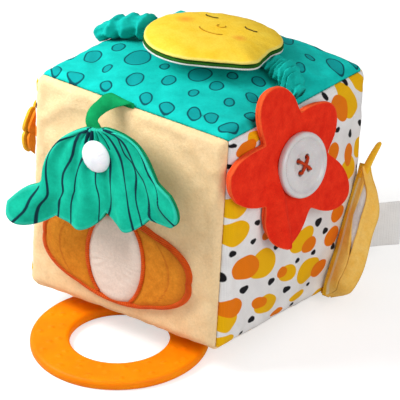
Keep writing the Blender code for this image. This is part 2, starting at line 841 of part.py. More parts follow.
def thread_strand(name, corner, seat_place, folder):
    """One diagonal stitch: up through a hole, across the dish and down the opposite hole."""
    reach = BUTTON_HOLE_PITCH / 2
    rise = BUTTON_THICK - BUTTON_DISH + THREAD_RADIUS + GAP
    low = THREAD_RADIUS
    points = []
    for side in (-1, 1):
        leg = [
            (side * reach, low),
            (side * reach, rise - 2 * THREAD_RADIUS),
            (side * (reach - THREAD_RADIUS), rise - THREAD_RADIUS / 2),
            (side * (reach - 2.5 * THREAD_RADIUS), rise),
        ]
        points += leg if side < 0 else leg[::-1]
    curve = bpy.data.curves.new(name, "CURVE")
    curve.dimensions = "3D"
    curve.bevel_depth = THREAD_RADIUS
    curve.bevel_resolution = 1
    curve.use_fill_caps = True
    spline = curve.splines.new("POLY")
    spline.points.add(len(points) - 1)
    for point, (across, height) in zip(spline.points, points):
        place = seat_place + Vector((height, across, across * corner))
        point.co = (*place, 1.0)
    holder = bpy.data.objects.new(name + "_curve", curve)
    CUTTERS.objects.link(holder)
    mesh = bpy.data.meshes.new_from_object(
        holder.evaluated_get(bpy.context.evaluated_depsgraph_get())
    )
    bpy.data.objects.remove(holder, do_unlink=True)
    bm = bmesh.new()
    bm.from_mesh(mesh)
    bpy.data.meshes.remove(mesh)
    bmesh.ops.remove_doubles(bm, verts=bm.verts, dist=GAP / 30)
    bmesh.ops.recalc_face_normals(bm, faces=bm.faces)
    if folder is CUTTERS:
        return make_cutter(bm, name)
    return finish(bm, name, STITCH_ORANGE)


def make_thread(seat_place):
    strand = thread_strand("button_thread", 1, seat_place, PARTS)
    crossing = thread_strand("thread_crossing", -1, seat_place, CUTTERS)
    cut(strand, crossing, "UNION")


# Strap and sun disc
def top_height(x):
    """Height of the block's top over the strap's line."""
    return face_point("top", min(max(x, -FLAT_HALF), FLAT_HALF), STRAP_Y).z


def strap_frame(along):
    """Base point, outward direction and height of the strap at a distance from its middle."""
    side = math.copysign(1, along)
    bend = max(abs(along) - FLAT_HALF, 0.0) / STRAP_BEND
    outward = Vector((side * math.sin(bend), 0, math.cos(bend)))
    if bend:
        corner = Vector((side * FLAT_HALF, STRAP_Y, EDGE - EDGE_ROUND))
        rest = STRAP_REST * abs(1 - math.degrees(bend) / 45.0)
        base = corner + outward * (EDGE_ROUND + rest)
    else:
        base = Vector((along, STRAP_Y, top_height(along)))
    height = STRAP_HEIGHTS[-1][1]
    away = abs(along - SUN_X)
    for (first, low), (second, high) in zip(STRAP_HEIGHTS, STRAP_HEIGHTS[1:]):
        if first <= away <= second:
            height = low + (high - low) * smooth_step((away - first) / (second - first))
            break
    return base, outward, height


def strap_tube(name, start, end, rings, folded):
    """A tube of cloth over the top, drawn into folds where it shows."""
    bm = bmesh.new()
    sides = 12
    bmesh.ops.create_circle(bm, cap_ends=False, segments=sides, radius=1.0)
    loops = [bm.verts[:]]
    for _ in range(rings):
        edges = [e for e in bm.edges if all(v in loops[-1] for v in e.verts)]
        made = bmesh.ops.extrude_edge_only(bm, edges=edges)["geom"]
        loops.append([item for item in made if isinstance(item, bmesh.types.BMVert)])
    for number, verts in enumerate(loops):
        for vert in verts:
            angle = math.atan2(vert.co.y, vert.co.x)
            along = start + (end - start) * number / rings
            lean = STRAP_FOLD_PITCH / 4 * math.sin(angle)
            fold = math.cos(math.tau * (along + lean) / STRAP_FOLD_PITCH) - 1 if folded else -1.0
            base, outward, height = strap_frame(along)
            wide = STRAP_WIDTH / 2 + STRAP_FOLD * fold
            tall = height / 2 + STRAP_FOLD / 2 * fold
            rise = GAP + height / 2 + tall * math.sin(angle)
            vert.co = base + outward * rise + Vector((0, wide * math.cos(angle), 0))
    rims = [edge for edge in bm.edges if edge.is_boundary]
    bmesh.ops.holes_fill(bm, edges=rims, sides=sides)
    bmesh.ops.recalc_face_normals(bm, faces=bm.faces)
    return finish(bm, name, TEAL)


def make_strap():
    left_end = FLAT_HALF + STRAP_BEND * math.radians(STRAP_LEFT_TURN_DEG)
    right_end = FLAT_HALF + STRAP_BEND * math.radians(STRAP_RIGHT_TURN_DEG)
    strap_tube("strap_middle", -STRAP_ARM_START + GAP, STRAP_ARM_START - GAP, 6, False)
    strap_tube("strap_left", -left_end, -STRAP_ARM_START, 24, True)
    strap_tube("strap_right", STRAP_ARM_START, right_end, 20, True)


def sun_place(share, angle, height, puff):
    wave = 1 + SUN_WAVE_SHARE * math.cos(5 * angle)
    reach = SUN_RADIUS * share * wave
    rise = puff * (1 - share**4) - SUN_SLOPE_SHARE * reach * math.sin(angle)
    return Vector((SUN_X + reach * math.cos(angle), SUN_Y + reach * math.sin(angle), height + rise))


def make_sun():
    base, _, height = strap_frame(0.0)
    trim_height = base.z + height + 2 * GAP
    backing_height = trim_height + SUN_TRIM + GAP
    front_height = backing_height + SUN_BACKING + GAP
    for name, height, thick, puff, colour in (
        ("sun_trim", trim_height, SUN_TRIM, 0.0, WHITE_COTTON),
        ("sun_backing", backing_height, SUN_BACKING, 0.0, SUN_GREEN),
    ):
        sheet = round_sheet(name, 2, 36, lambda s, a, h=height: sun_place(s, a, h, 0.0), colour)
        thicken(sheet, thick, 1.0)
    front = round_sheet(
        "sun_front",
        4,
        36,
        lambda s, a: sun_place(s, a, front_height + SUN_THICK, SUN_PUFF),
        SUN_YELLOW,
    )
    thicken(front, SUN_THICK, -1.0)


# Small flower on the left side
def daisy_place(share, angle, height, size_share):
    petals = abs(math.sin(DAISY_PETALS / 2 * angle)) ** 0.6
    outline = 1 - DAISY_NOTCH_SHARE * (1 - petals)
    reach = DAISY_RADIUS * outline * share * size_share
    base = face_point("left", -DAISY_Y, DAISY_Z - HALF).x
    curl = smooth_step((share - DAISY_CURL_START_SHARE) / (1 - DAISY_CURL_START_SHARE))
    out = base - height - DAISY_FLARE * curl
    return Vector((out, DAISY_Y - reach * math.cos(angle), DAISY_Z + reach * math.sin(angle)))


def make_daisy():
    back_height = DAISY_OFF_PANEL
    front_height = back_height + DAISY_LAYERS_APART
    for name, height, size_share, colour in (
        ("daisy_back", back_height, DAISY_BACK_SHARE, PUMPKIN),
        ("daisy_front", front_height, 1.0, SUN_YELLOW),
    ):
        sheet = round_sheet(
            name, 3, 36, lambda s, a, h=height, z=size_share: daisy_place(s, a, h, z), colour
        )
        thicken(sheet, DAISY_CLOTH, 1.0)
    base = face_point("left", -DAISY_Y, DAISY_Z - HALF).x
    dome = [
        (
            DAISY_CENTRE_RADIUS * math.sin(math.radians(deg)),
            DAISY_CENTRE_HEIGHT * math.cos(math.radians(deg)),
        )
        for deg in range(0, 91, 18)
    ]
    centre = turned("daisy_centre", dome + [(0.0, 0.0)], PUMPKIN, 0.9, 16)
    turn_to(centre, (-1, 0, 0), (base - front_height - DAISY_CLOTH - 3 * GAP, DAISY_Y, DAISY_Z))


# Banana
def banana_frame():
    lean = math.radians(BANANA_LEAN_DEG)
    along = Vector((0, math.sin(lean), math.cos(lean)))
    facing = Vector((0, -math.cos(lean), math.sin(lean)))
    return along, facing


def banana_line(along_share):
    """Place on the block's right face that the banana's inner edge follows."""
    along, _ = banana_frame()
    spot = Vector((0, BANANA_FOOT_Y, BANANA_FOOT_Z)) + along * BANANA_LENGTH * along_share
    return spot


def face_x(spot):
    """The right face's X at a place, with the round of the back edge."""
    flat_y = min(spot.y, FLAT_HALF)
    flat_z = max(spot.z, EDGE_ROUND)
    x = face_point("right", flat_y, flat_z - HALF).x
    beyond = math.hypot(spot.y - flat_y, spot.z - flat_z)
    return x - EDGE_ROUND + math.sqrt(max(EDGE_ROUND**2 - beyond**2, 0.0))


def banana_outer(along_share):
    """X of the banana's outer edge: full in the middle, narrow at both ends."""
    stretch = BANANA_FOOT_SHARE + (BANANA_TOP_SHARE - BANANA_FOOT_SHARE) * along_share
    swell = math.sin(math.pi * stretch) ** 0.8
    return FLAP_HINGE_X - FLAP_RIM + BANANA_WIDTH * swell


def banana_place(across, along_share, depth):
    """across runs from -1 at the block to 1 at the outer edge."""
    spot = banana_line(along_share)
    low = face_x(spot) + 2 * GAP
    high = banana_outer(along_share)
    _, facing = banana_frame()
    spot.x = low + (high - low) * (across + 1) / 2
    return spot + facing * depth


def flap_place(side, across, along_share):
    """A point of a peel flap, from its hinge edge to the slit."""
    outer = banana_outer(along_share)
    slit = FLAP_HINGE_X + (outer - FLAP_HINGE_X) * FLAP_SLIT_SHARE
    reach = (across + 1) / 2
    if side == "inner":
        x = FLAP_HINGE_X + (slit - PEEL_SLIT / 2 - FLAP_HINGE_X) * reach
    else:
        x = outer - FLAP_RIM / 2 + (slit + PEEL_SLIT / 2 - outer + FLAP_RIM / 2) * reach
    spot = banana_line(along_share)
    _, facing = banana_frame()
    spot.x = x
    return spot + facing * (PEEL_CLOTH + GAP + FLAP_SWELL * math.sin(math.pi / 2 * reach))


def make_banana():
    back = strip_sheet(
        "banana_back",
        6,
        10,
        lambda c, a: banana_place(c, a, -BANANA_DEPTH * (1 - c * c)),
        BANANA_YELLOW,
    )
    thicken(back, PEEL_CLOTH, 0.0)
    flap_share = 1 - 2 * FLAP_END_SHARE
    for side in ("inner", "outer"):
        flap = strip_sheet(
            f"banana_flap_{side}",
            3,
            8,
            lambda c, a, s=side: flap_place(s, c, FLAP_END_SHARE + flap_share * a),
            BANANA_CREAM,
        )
        thicken(flap, PEEL_CLOTH, 0.0)
    along, facing = banana_frame()
    bm = bmesh.new()
    bmesh.ops.create_uvsphere(bm, u_segments=12, v_segments=8, radius=1.0)
    for vert in bm.verts:
        u, v, w = vert.co
        vert.co = banana_place(FLESH_SHARE * u, 0.5 - FLESH_SHARE / 2 * w, FLESH_HALF_THICK * v)
    finish(bm, "banana_flesh", WHITE_COTTON)
    make_banana_stalk(along, facing)


def make_banana_stalk(along, facing):
    head = banana_line(1.0)
    head.x = (face_x(head) + banana_outer(1.0)) / 2 + 2 * GAP
    start = head + along * (2 * GAP) - facing * BANANA_DEPTH * STALK_SEAT_SHARE

    def place(across, along_share):
        taper = 1 - BANANA_STALK_TAPER_SHARE * along_share
        return (
            start
            + along * BANANA_STALK_LENGTH * along_share
            + Vector((BANANA_STALK_LEAN * along_share**1.4, 0, 0))
            + Vector((BANANA_STALK_WIDTH / 2 * taper * across, 0, 0))
        )

    stalk = strip_sheet("banana_stalk", 2, 5, place, BANANA_YELLOW)
    thicken(stalk, BANANA_STALK_THICK, 0.0)


# Sewn-in tapes
def make_tapes():
    turn = math.radians(LABEL_TURN_DEG)
    seam = FLAT_HALF + (EDGE_ROUND + 2 * GAP) * math.sqrt(0.5)
    out = Vector((math.cos(turn), math.sin(turn), 0))
    label = strip_sheet(
        "side_label",
        1,
        4,
        lambda c, a: Vector((seam, seam, LABEL_LOW + LABEL_HEIGHT / 2 * (c + 1)))
        + out * LABEL_REACH * a,
        WHITE_COTTON,
    )
    thicken(label, LABEL_THICK, 0.0)
    edge = Vector((-HALF - TAG_SEAT, TAG_Y, TAG_Z))
    tag = strip_sheet(
        "corner_tag",
        1,
        3,
        lambda c, a: edge + Vector((-TAG_REACH * a - TAG_THICK / 2, TAG_WIDTH / 2 * c, 0)),
        PUMPKIN,
    )
    thicken(tag, TAG_THICK, 0.0)


# Teether ring
def band_outline(bm, middle, half_wide, half_tall, corner):
    """Closed outline of the band's section across Y and Z: a flat bar with round edges."""
    flat_wide = half_wide - corner
    flat_tall = half_tall - corner
    points = []
    for quarter, (across, up) in enumerate(((1, 1), (-1, 1), (-1, -1), (1, -1))):
        start = 90.0 * quarter
        points += arc(across * flat_wide, up * flat_tall, corner, start, start + 90.0, 3)
    verts = [bm.verts.new((0, middle + across, up)) for across, up in points]
    for number, vert in enumerate(verts):
        bm.edges.new((verts[number - 1], vert))


def make_ring():
    bm = bmesh.new()
    band_outline(bm, RING_MIDLINE, RING_BAND_HALF, RING_THICK_HALF, RING_EDGE_ROUND)
    bmesh.ops.spin(
        bm,
        geom=bm.verts[:] + bm.edges[:],
        cent=(0, 0, 0),
        axis=(0, 0, 1),
        angle=math.tau,
        steps=40,
        use_merge=True,
    )
    bmesh.ops.remove_doubles(bm, verts=bm.verts, dist=GAP / 30)
    bmesh.ops.recalc_face_normals(bm, faces=bm.faces)
    bmesh.ops.translate(bm, verts=bm.verts, vec=(0, RING_Y - RING_HINGE_Y, 0))
    return finish(bm, "teether_ring", RING_ORANGE, 0.45)


def make_ring_loop():
    """The tape round the ring's rear band."""
    bm = bmesh.new()
    band_outline(
        bm,
        RING_Y + RING_MIDLINE - RING_HINGE_Y,
        RING_BAND_HALF + LOOP_EASE_LONG,
        RING_THICK_HALF + LOOP_EASE_ROUND,
        RING_EDGE_ROUND,
    )
    first = bm.verts[:]
    made = bmesh.ops.extrude_edge_only(bm, edges=bm.edges[:])["geom"]
    second = [item for item in made if isinstance(item, bmesh.types.BMVert)]
    bmesh.ops.translate(bm, verts=first, vec=(-LOOP_WIDTH / 2, 0, 0))
    bmesh.ops.translate(bm, verts=second, vec=(LOOP_WIDTH / 2, 0, 0))
    bmesh.ops.recalc_face_normals(bm, faces=bm.faces)
    loop = finish(bm, "ring_loop", TEAL)
    thicken(loop, LOOP_CLOTH, 1.0)
    return loop


def bottom_height(floor_y):
    """Height of the leaning block's bottom over the floor at a place in front of its rear edge."""
    lean = math.radians(LEAN_DEG)
    back = (FLAT_HALF - floor_y - EDGE_ROUND * math.sin(lean)) / math.cos(lean)
    return EDGE_ROUND - FLOOR_CUT + back * math.sin(lean) - EDGE_ROUND * math.cos(lean)


def make_ring_tab():
    """The end of the tape, sewn to the bottom behind the ring and over its hinge."""
    seam = bottom_height(RING_HINGE_Y + GAP + TAB_THICK) - RING_HINGE_Z - 2 * GAP
    tab = strip_sheet(
        "ring_tab",
        1,
        2,
        lambda c, a: Vector((LOOP_WIDTH / 2 * c, GAP + TAB_THICK / 2, seam * a)),
        TEAL,
    )
    thicken(tab, TAB_THICK, 0.0)
    return tab


# Resting pose
def lean_block():
    """Leans the whole block back on its rear bottom edge."""
    turn = Matrix.Rotation(-math.radians(LEAN_DEG), 4, "X")
    pivot = Matrix.Translation((0, -FLAT_HALF, -EDGE_ROUND))
    place = Matrix.Translation((0, FLAT_HALF, EDGE_ROUND - FLOOR_CUT))
    for obj in PARTS.objects[:] + CUTTERS.objects[:]:
        obj.matrix_basis = place @ turn @ pivot @ obj.matrix_basis


def lay_ring():
    """Lays the ring and its tape on the floor, its front rim down."""
    ring, loop, tab = make_ring(), make_ring_loop(), make_ring_tab()
    place = Matrix.Translation((RING_X, RING_HINGE_Y, RING_HINGE_Z))
    tilt = Matrix.Rotation(math.radians(RING_TILT_DEG), 4, "X")
    for obj in (ring, loop):
        obj.matrix_basis = place @ tilt
    tab.matrix_basis = place
    return ring


def flatten_on_floor(ring):
    """Cuts the contact flats under the ring and along the rear bottom edge."""
    bm = bmesh.new()
    bmesh.ops.create_cube(bm, size=1.0)
    under = make_cutter(bm, "floor")
    under.data.transform(Matrix.Diagonal((3 * EDGE, 3 * EDGE, EDGE, 1)))
    under.data.transform(Matrix.Translation((0, 0, -EDGE / 2)))
    cut(ring, under)
    cut(bpy.data.objects["bottom_panel"], under)


def centre_on_floor():
    """Moves everything so that the origin is under the middle of the outline."""
    bpy.context.view_layer.update()
    graph = bpy.context.evaluated_depsgraph_get()
    corners = [
        obj.matrix_world @ vert.co
        for obj in PARTS.objects
        for vert in obj.evaluated_get(graph).data.vertices
    ]
    middle = [(min(c[axis] for c in corners) + max(c[axis] for c in corners)) / 2 for axis in (0, 1)]
    shift = Matrix.Translation((-middle[0], -middle[1], 0))
    for obj in PARTS.objects[:] + CUTTERS.objects[:]:
        obj.matrix_basis = shift @ obj.matrix_basis


clear_scene()
PARTS = new_collection("soft_fabric_block")
CUTTERS = new_collection("cutters")
RATTLE_POCKET = make_rattle_pocket()
make_body()
make_rattle()
make_patch()
make_leaf()
make_leaf_stalk()
make_snap()
make_flower()
make_strap()
make_sun()
make_daisy()
make_banana()
make_tapes()
lean_block()
flatten_on_floor(lay_ring())
centre_on_floor()
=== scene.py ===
import json
import math

import bmesh
import bpy
import numpy
from mathutils import Matrix, Vector, noise
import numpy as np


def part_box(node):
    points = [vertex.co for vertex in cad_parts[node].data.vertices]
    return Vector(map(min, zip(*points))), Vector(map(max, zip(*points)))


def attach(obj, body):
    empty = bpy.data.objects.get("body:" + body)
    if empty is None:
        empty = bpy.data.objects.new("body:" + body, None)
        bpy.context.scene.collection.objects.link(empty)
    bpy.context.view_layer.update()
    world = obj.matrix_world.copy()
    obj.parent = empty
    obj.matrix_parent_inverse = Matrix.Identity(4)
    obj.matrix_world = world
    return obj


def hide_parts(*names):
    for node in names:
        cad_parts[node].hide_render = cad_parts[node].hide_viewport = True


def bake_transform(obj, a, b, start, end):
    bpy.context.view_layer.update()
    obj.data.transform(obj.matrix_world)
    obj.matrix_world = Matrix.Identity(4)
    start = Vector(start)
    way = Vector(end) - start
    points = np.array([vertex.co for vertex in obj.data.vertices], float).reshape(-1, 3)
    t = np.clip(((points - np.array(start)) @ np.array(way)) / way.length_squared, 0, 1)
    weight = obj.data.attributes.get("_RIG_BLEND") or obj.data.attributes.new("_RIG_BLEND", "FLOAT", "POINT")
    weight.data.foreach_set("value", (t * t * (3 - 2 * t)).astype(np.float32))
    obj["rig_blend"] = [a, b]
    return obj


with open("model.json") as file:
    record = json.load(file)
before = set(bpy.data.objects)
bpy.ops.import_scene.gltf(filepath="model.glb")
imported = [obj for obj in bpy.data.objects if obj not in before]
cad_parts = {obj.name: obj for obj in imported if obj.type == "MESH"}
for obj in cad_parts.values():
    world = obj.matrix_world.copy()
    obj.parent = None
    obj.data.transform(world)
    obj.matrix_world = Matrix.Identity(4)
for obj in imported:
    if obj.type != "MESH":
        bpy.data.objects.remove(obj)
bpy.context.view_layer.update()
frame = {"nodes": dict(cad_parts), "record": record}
record = frame["record"]
scene = bpy.context.scene

# The block leans back on its ring, so its own frame comes from the record
upAxis = Vector(next(j for j in record["behaviour"]["joints"] if j["name"] == "sun_pull")["axis"])
backAxis = Vector((0, upAxis.z, -upAxis.y))
mountPlace = Vector(record["mounts"][0]["pos_m"])
cornerPlace = mountPlace - 0.010 * backAxis
toWorld = Matrix((
    (1, 0, 0, cornerPlace.x),
    (0, backAxis.y, upAxis.y, cornerPlace.y),
    (0, backAxis.z, upAxis.z, cornerPlace.z),
    (0, 0, 0, 1),
))

# Camera
view = {
    "target": (0.002, 0.0, 0.0404),
    "back": (0.5147, -0.7438, 0.4263),
    "right": (0.8056, 0.5897, 0.0564),
    "distance": 5.08,
    "lens": 1047,
    "sensor": 36,
}


def makeCamera():
    back = Vector(view["back"]).normalized()
    right = Vector(view["right"]).normalized()
    over = back.cross(right).normalized()
    spot = Vector(view["target"]) + back * view["distance"]
    turn = Matrix((right, over, back)).transposed().to_4x4()
    camera = bpy.data.objects.new("camera", bpy.data.cameras.new("camera"))
    camera.data.lens = view["lens"]
    camera.data.sensor_width = view["sensor"]
    camera.data.clip_end = 100
    scene.collection.objects.link(camera)
    camera.matrix_world = toWorld @ Matrix.Translation(spot) @ turn
    scene.camera = camera


makeCamera()
print("camera set")


# Small helpers
def ease(share):
    share = min(max(share, 0.0), 1.0)
    return share * share * (3 - 2 * share)


def wobble(*place):
    return noise.noise(Vector((*place, 0.0, 0.0)[:3]))


def hexColour(code):
    channels = [int(code[i:i + 2], 16) / 255 for i in (1, 3, 5)]
    return (*(c / 12.92 if c <= 0.04045 else ((c + 0.055) / 1.055) ** 2.4 for c in channels), 1.0)


def addNode(tree, kind, inputs=None, stops=None, **settings):
    node = tree.nodes.new(kind)
    for key, value in settings.items():
        setattr(node, key, value)
    for key, value in (inputs or {}).items():
        if isinstance(value, bpy.types.NodeSocket):
            tree.links.new(value, node.inputs[key])
        else:
            node.inputs[key].default_value = value
    for number, (position, code) in enumerate(stops or ()):
        stop = node.color_ramp.elements[number] if number < 2 else node.color_ramp.elements.new(position)
        stop.position, stop.color = position, hexColour(code)
    return node


def printAndPaintedLight(tree, colour, field, low, high, code, soft=0.14, strength=1.0):
    # mixes a colour in where a field on the cloth, in mm, lies from low to high; it lays prints, and also painted
    # highlights and painted shade
    value = addNode(tree, "ShaderNodeAttribute", attribute_name=field).outputs["Fac"]
    rise = addNode(tree, "ShaderNodeMapRange", {"Value": value, "From Min": low - soft, "From Max": low + soft})
    fall = addNode(tree, "ShaderNodeMapRange", {
        "Value": value, "From Min": high - soft, "From Max": high + soft, "To Min": strength, "To Max": 0.0})
    mask = addNode(tree, "ShaderNodeMath", {0: rise.outputs[0], 1: fall.outputs[0]}, operation="MULTIPLY")
    return addNode(
        tree, "ShaderNodeMix", {0: mask.outputs[0], 6: colour, 7: hexColour(code)}, data_type="RGBA").outputs[2]


def clothFinish(name, cloth, pattern=None, ridges=None):
    # a cloth: broad dye mottle, fine grain, and thread or pile relief, all in real millimetres; the colour is darkened
    # where the relief is low, a painted shade
    finish = bpy.data.materials.new(name)
    finish.use_nodes = True
    tree = finish.node_tree
    shader = tree.nodes["Principled BSDF"]
    place = addNode(tree, "ShaderNodeTexCoord").outputs["Object"]
    broad = addNode(tree, "ShaderNodeTexNoise", {
        "Vector": place, "Scale": 1000 / cloth["mottle"], "Detail": 4.0, "Roughness": 0.6}).outputs["Fac"]
    colour = addNode(tree, "ShaderNodeValToRGB", {"Fac": broad}, stops=(
        (0.32, cloth["shade"]), (0.68, cloth["light"]))).outputs["Color"]
    if pattern:
        colour = pattern(tree, colour)
    fine = addNode(tree, "ShaderNodeTexNoise", {
        "Vector": place, "Scale": 1000 / cloth["grain"], "Detail": 3.0, "Roughness": 0.7}).outputs["Fac"]
    # the fine grain darkens the colour where its relief is low: grain tone and painted shade in the pile's hollows
    grainAndHollowShade = addNode(tree, "ShaderNodeMapRange", {
        "Value": fine, "From Min": 0.3, "From Max": 0.7, "To Min": 1 - cloth["grainAndHollowShade"], "To Max": 1.0}).outputs[0]
    height = fine
    if cloth.get("thread"):
        weave = None
        for axis in "XYZ":
            band = addNode(tree, "ShaderNodeTexWave", {
                "Vector": place, "Scale": 314 / cloth["thread"], "Distortion": 0.8,
                "Detail": 1.0, "Detail Scale": 2.0}, bands_direction=axis).outputs["Fac"]
            weave = band if weave is None else addNode(
                tree, "ShaderNodeMath", {0: weave, 1: band}, operation="ADD").outputs[0]
        third = addNode(tree, "ShaderNodeMath", {0: weave, 1: 0.33}, operation="MULTIPLY").outputs[0]
        height = addNode(tree, "ShaderNodeMix", {0: 0.6, 2: fine, 3: third}).outputs[0]
        # the weave darkens the colour between the threads: painted shade
        grainAndHollowShade = addNode(tree, "ShaderNodeMapRange", {
            "Value": height, "From Min": 0.25, "From Max": 0.75,
            "To Min": 1 - cloth["grainAndHollowShade"], "To Max": 1.0}).outputs[0]
    if ridges:
        run = addNode(tree, "ShaderNodeAttribute", attribute_name="run").outputs["Fac"]
        turns = addNode(tree, "ShaderNodeMath", {0: run, 1: math.tau / ridges}, operation="MULTIPLY").outputs[0]
        wave = addNode(tree, "ShaderNodeMath", {0: turns}, operation="SINE").outputs[0]
        height = addNode(tree, "ShaderNodeMath", {0: wave, 1: fine}, operation="ADD").outputs[0]
        # the stitch ridges darken the colour in the grooves between them: painted shade
        grainAndHollowShade = addNode(tree, "ShaderNodeMapRange", {
            "Value": wave, "From Min": -1.0, "From Max": 0.6, "To Min": 1 - cloth["grainAndHollowShade"], "To Max": 1.0}).outputs[0]
    toned = addNode(tree, "ShaderNodeVectorMath", {0: colour, "Scale": grainAndHollowShade}, operation="SCALE").outputs[0]
    bump = addNode(tree, "ShaderNodeBump", {
        "Height": height, "Strength": cloth.get("relief", 0.5), "Distance": cloth["bump"] / 1000}).outputs[0]
    tree.links.new(toned, shader.inputs["Base Color"])
    tree.links.new(bump, shader.inputs["Normal"])
    shader.inputs["Roughness"].default_value = cloth.get("roughness", 0.9)
    shader.inputs["IOR"].default_value = 1.5
    shader.inputs["Specular IOR Level"].default_value = 0.12
    shader.inputs["Sheen Weight"].default_value = cloth.get("sheen", 0.05)
    shader.inputs["Sheen Roughness"].default_value = 0.5
    shader.inputs["Sheen Tint"].default_value = hexColour(cloth["light"])
    return finish


def mouldedFinish(name, plastic):
    # a moulded plastic or rubber: even colour with faint flow clouds and a fine moulded surface
    finish = bpy.data.materials.new(name)
    finish.use_nodes = True
    tree = finish.node_tree
    shader = tree.nodes["Principled BSDF"]
    place = addNode(tree, "ShaderNodeTexCoord").outputs["Object"]
    cloud = addNode(tree, "ShaderNodeTexNoise", {
        "Vector": place, "Scale": 1000 / plastic["cloud"], "Detail": 3.0}).outputs["Fac"]
    colour = addNode(tree, "ShaderNodeValToRGB", {"Fac": cloud}, stops=(
        (0.35, plastic["shade"]), (0.65, plastic["light"]))).outputs["Color"]
    fine = addNode(tree, "ShaderNodeTexNoise", {
        "Vector": place, "Scale": 1000 / plastic["grain"], "Detail": 2.0}).outputs["Fac"]
    rough = addNode(tree, "ShaderNodeMapRange", {
        "Value": fine, "To Min": plastic["roughness"] - 0.06, "To Max": plastic["roughness"] + 0.06}).outputs[0]
    bump = addNode(tree, "ShaderNodeBump", {
        "Height": fine, "Strength": 0.25, "Distance": plastic["bump"] / 1000}).outputs[0]
    tree.links.new(colour, shader.inputs["Base Color"])
    tree.links.new(rough, shader.inputs["Roughness"])
    tree.links.new(bump, shader.inputs["Normal"])
    shader.inputs["IOR"].default_value = plastic.get("ior", 1.49)
    shader.inputs["Specular IOR Level"].default_value = plastic.get("specular", 0.5)
    shader.inputs["Subsurface Weight"].default_value = plastic.get("glow", 0.0)
    shader.inputs["Subsurface Scale"].default_value = 0.002
    shader.inputs["Coat Weight"].default_value = plastic.get("coat", 0.0)
    return finish


def finishPiece(bm, name, finish, body, nodes=(), slot=None, place=toWorld, ends=None):
    # writes the mesh in the world's frame and ties the piece to its body and its nodes
    bm.transform(place)
    mesh = bpy.data.meshes.new(name)
    bm.to_mesh(mesh)
    bm.free()
    mesh.shade_smooth()
    for one in finish if isinstance(finish, (list, tuple)) else [finish]:
        mesh.materials.append(one)
    piece = bpy.data.objects.new(name, mesh)
    scene.collection.objects.link(piece)
    if ends:
        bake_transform(piece, body, ends[0], start=ends[1], end=ends[2])
    else:
        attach(piece, body)
    if nodes:
        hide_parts(*nodes)
    return piece


def thicken(piece, thickness, offset):
    modifier = piece.modifiers.new("thickness", "SOLIDIFY")
    modifier.thickness = thickness
    modifier.offset = offset
    return piece


def roundEdges(piece, width):
    modifier = piece.modifiers.new("edge", "BEVEL")
    modifier.width, modifier.segments, modifier.limit_method = width, 2, "ANGLE"
    return modifier


def setFields(bm, fields):
    # keeps values on the points, for the prints and seams in the materials
    for name, read in fields.items():
        layer = bm.verts.layers.float.new(name)
        for vert in bm.verts:
            vert[layer] = read(vert)


def gridSheet(columns, rows, place, fields=None):
    # place and fields read shares across from -1 to 1 and along from 0 to 1
    bm = bmesh.new()
    bmesh.ops.create_grid(bm, x_segments=columns, y_segments=rows, size=1.0)
    setFields(bm, {name: (lambda v, f=f: f(v.co.x, (v.co.y + 1) / 2)) for name, f in (fields or {}).items()})
    for vert in bm.verts:
        vert.co = place(vert.co.x, (vert.co.y + 1) / 2)
    return bm


def turned(profile, steps, merge=0.00001):
    # profile of (radius, height) turned round Z
    bm = bmesh.new()
    verts = [bm.verts.new((radius, 0, height)) for radius, height in profile]
    for first, second in zip(verts, verts[1:]):
        bm.edges.new((first, second))
    bmesh.ops.spin(
        bm, geom=bm.verts[:] + bm.edges[:], cent=(0, 0, 0), axis=(0, 0, 1), angle=math.tau, steps=steps,
        use_merge=True)
    bmesh.ops.remove_doubles(bm, verts=bm.verts, dist=merge)
    bmesh.ops.recalc_face_normals(bm, faces=bm.faces)
    return bm


def roundSheet(rings, spokes, place, fields=None):
    # place and fields read the share of the radius and the angle
    bm = turned([(ring / rings, 0) for ring in range(rings + 1)], spokes, 0.0002)
    if sum(face.normal.z for face in bm.faces) < 0:
        bmesh.ops.reverse_faces(bm, faces=bm.faces)
    read = lambda f: (lambda v: f(v.co.xy.length, math.atan2(v.co.y, v.co.x)))
    setFields(bm, {name: read(f) for name, f in (fields or {}).items()})
    for vert in bm.verts:
        vert.co = place(vert.co.xy.length, math.atan2(vert.co.y, vert.co.x))
    return bm


def tube(sides, rings, place, fields=None, capped=True):
    # place and fields read the angle round the section and the share along
    bm = bmesh.new()
    bmesh.ops.create_grid(bm, x_segments=sides, y_segments=rings, size=1.0)
    read = lambda f: (lambda v: f((v.co.x + 1) * math.pi, (v.co.y + 1) / 2))
    setFields(bm, {name: read(f) for name, f in (fields or {}).items()})
    for vert in bm.verts:
        vert.co = place((vert.co.x + 1) * math.pi, (vert.co.y + 1) / 2)
    bmesh.ops.remove_doubles(bm, verts=bm.verts, dist=0.000004)
    if capped:
        rims = [edge for edge in bm.edges if edge.is_boundary]
        if rims:
            bmesh.ops.holes_fill(bm, edges=rims, sides=0)
    bmesh.ops.recalc_face_normals(bm, faces=bm.faces)
    return bm


def standOn(bm, direction, place):
    turn = Vector((0, 0, 1)).rotation_difference(Vector(direction)).to_matrix().to_4x4()
    bm.transform(Matrix.Translation(place) @ turn)
    return bm


def smoothRoute(points, steps):
    # an even curve through the points
    route = []
    points = [Vector(p) for p in points]
    padded = [2 * points[0] - points[1], *points, 2 * points[-1] - points[-2]]
    for p0, p1, p2, p3 in zip(padded, padded[1:], padded[2:], padded[3:]):
        for step in range(steps):
            t = step / steps
            route.append(0.5 * (
                2 * p1 + (p2 - p0) * t + (2 * p0 - 5 * p1 + 4 * p2 - p3) * t * t
                + (3 * p1 - p0 - 3 * p2 + p3) * t ** 3))
    return route + [points[-1]]


def curveOf(stations):
    # reads a smooth curve through (place, value) stations
    route = smoothRoute([(place, value, 0) for place, value in stations], 8)
    places, values = [p.x for p in route], [p.y for p in route]
    return lambda place: float(numpy.interp(place, places, values))


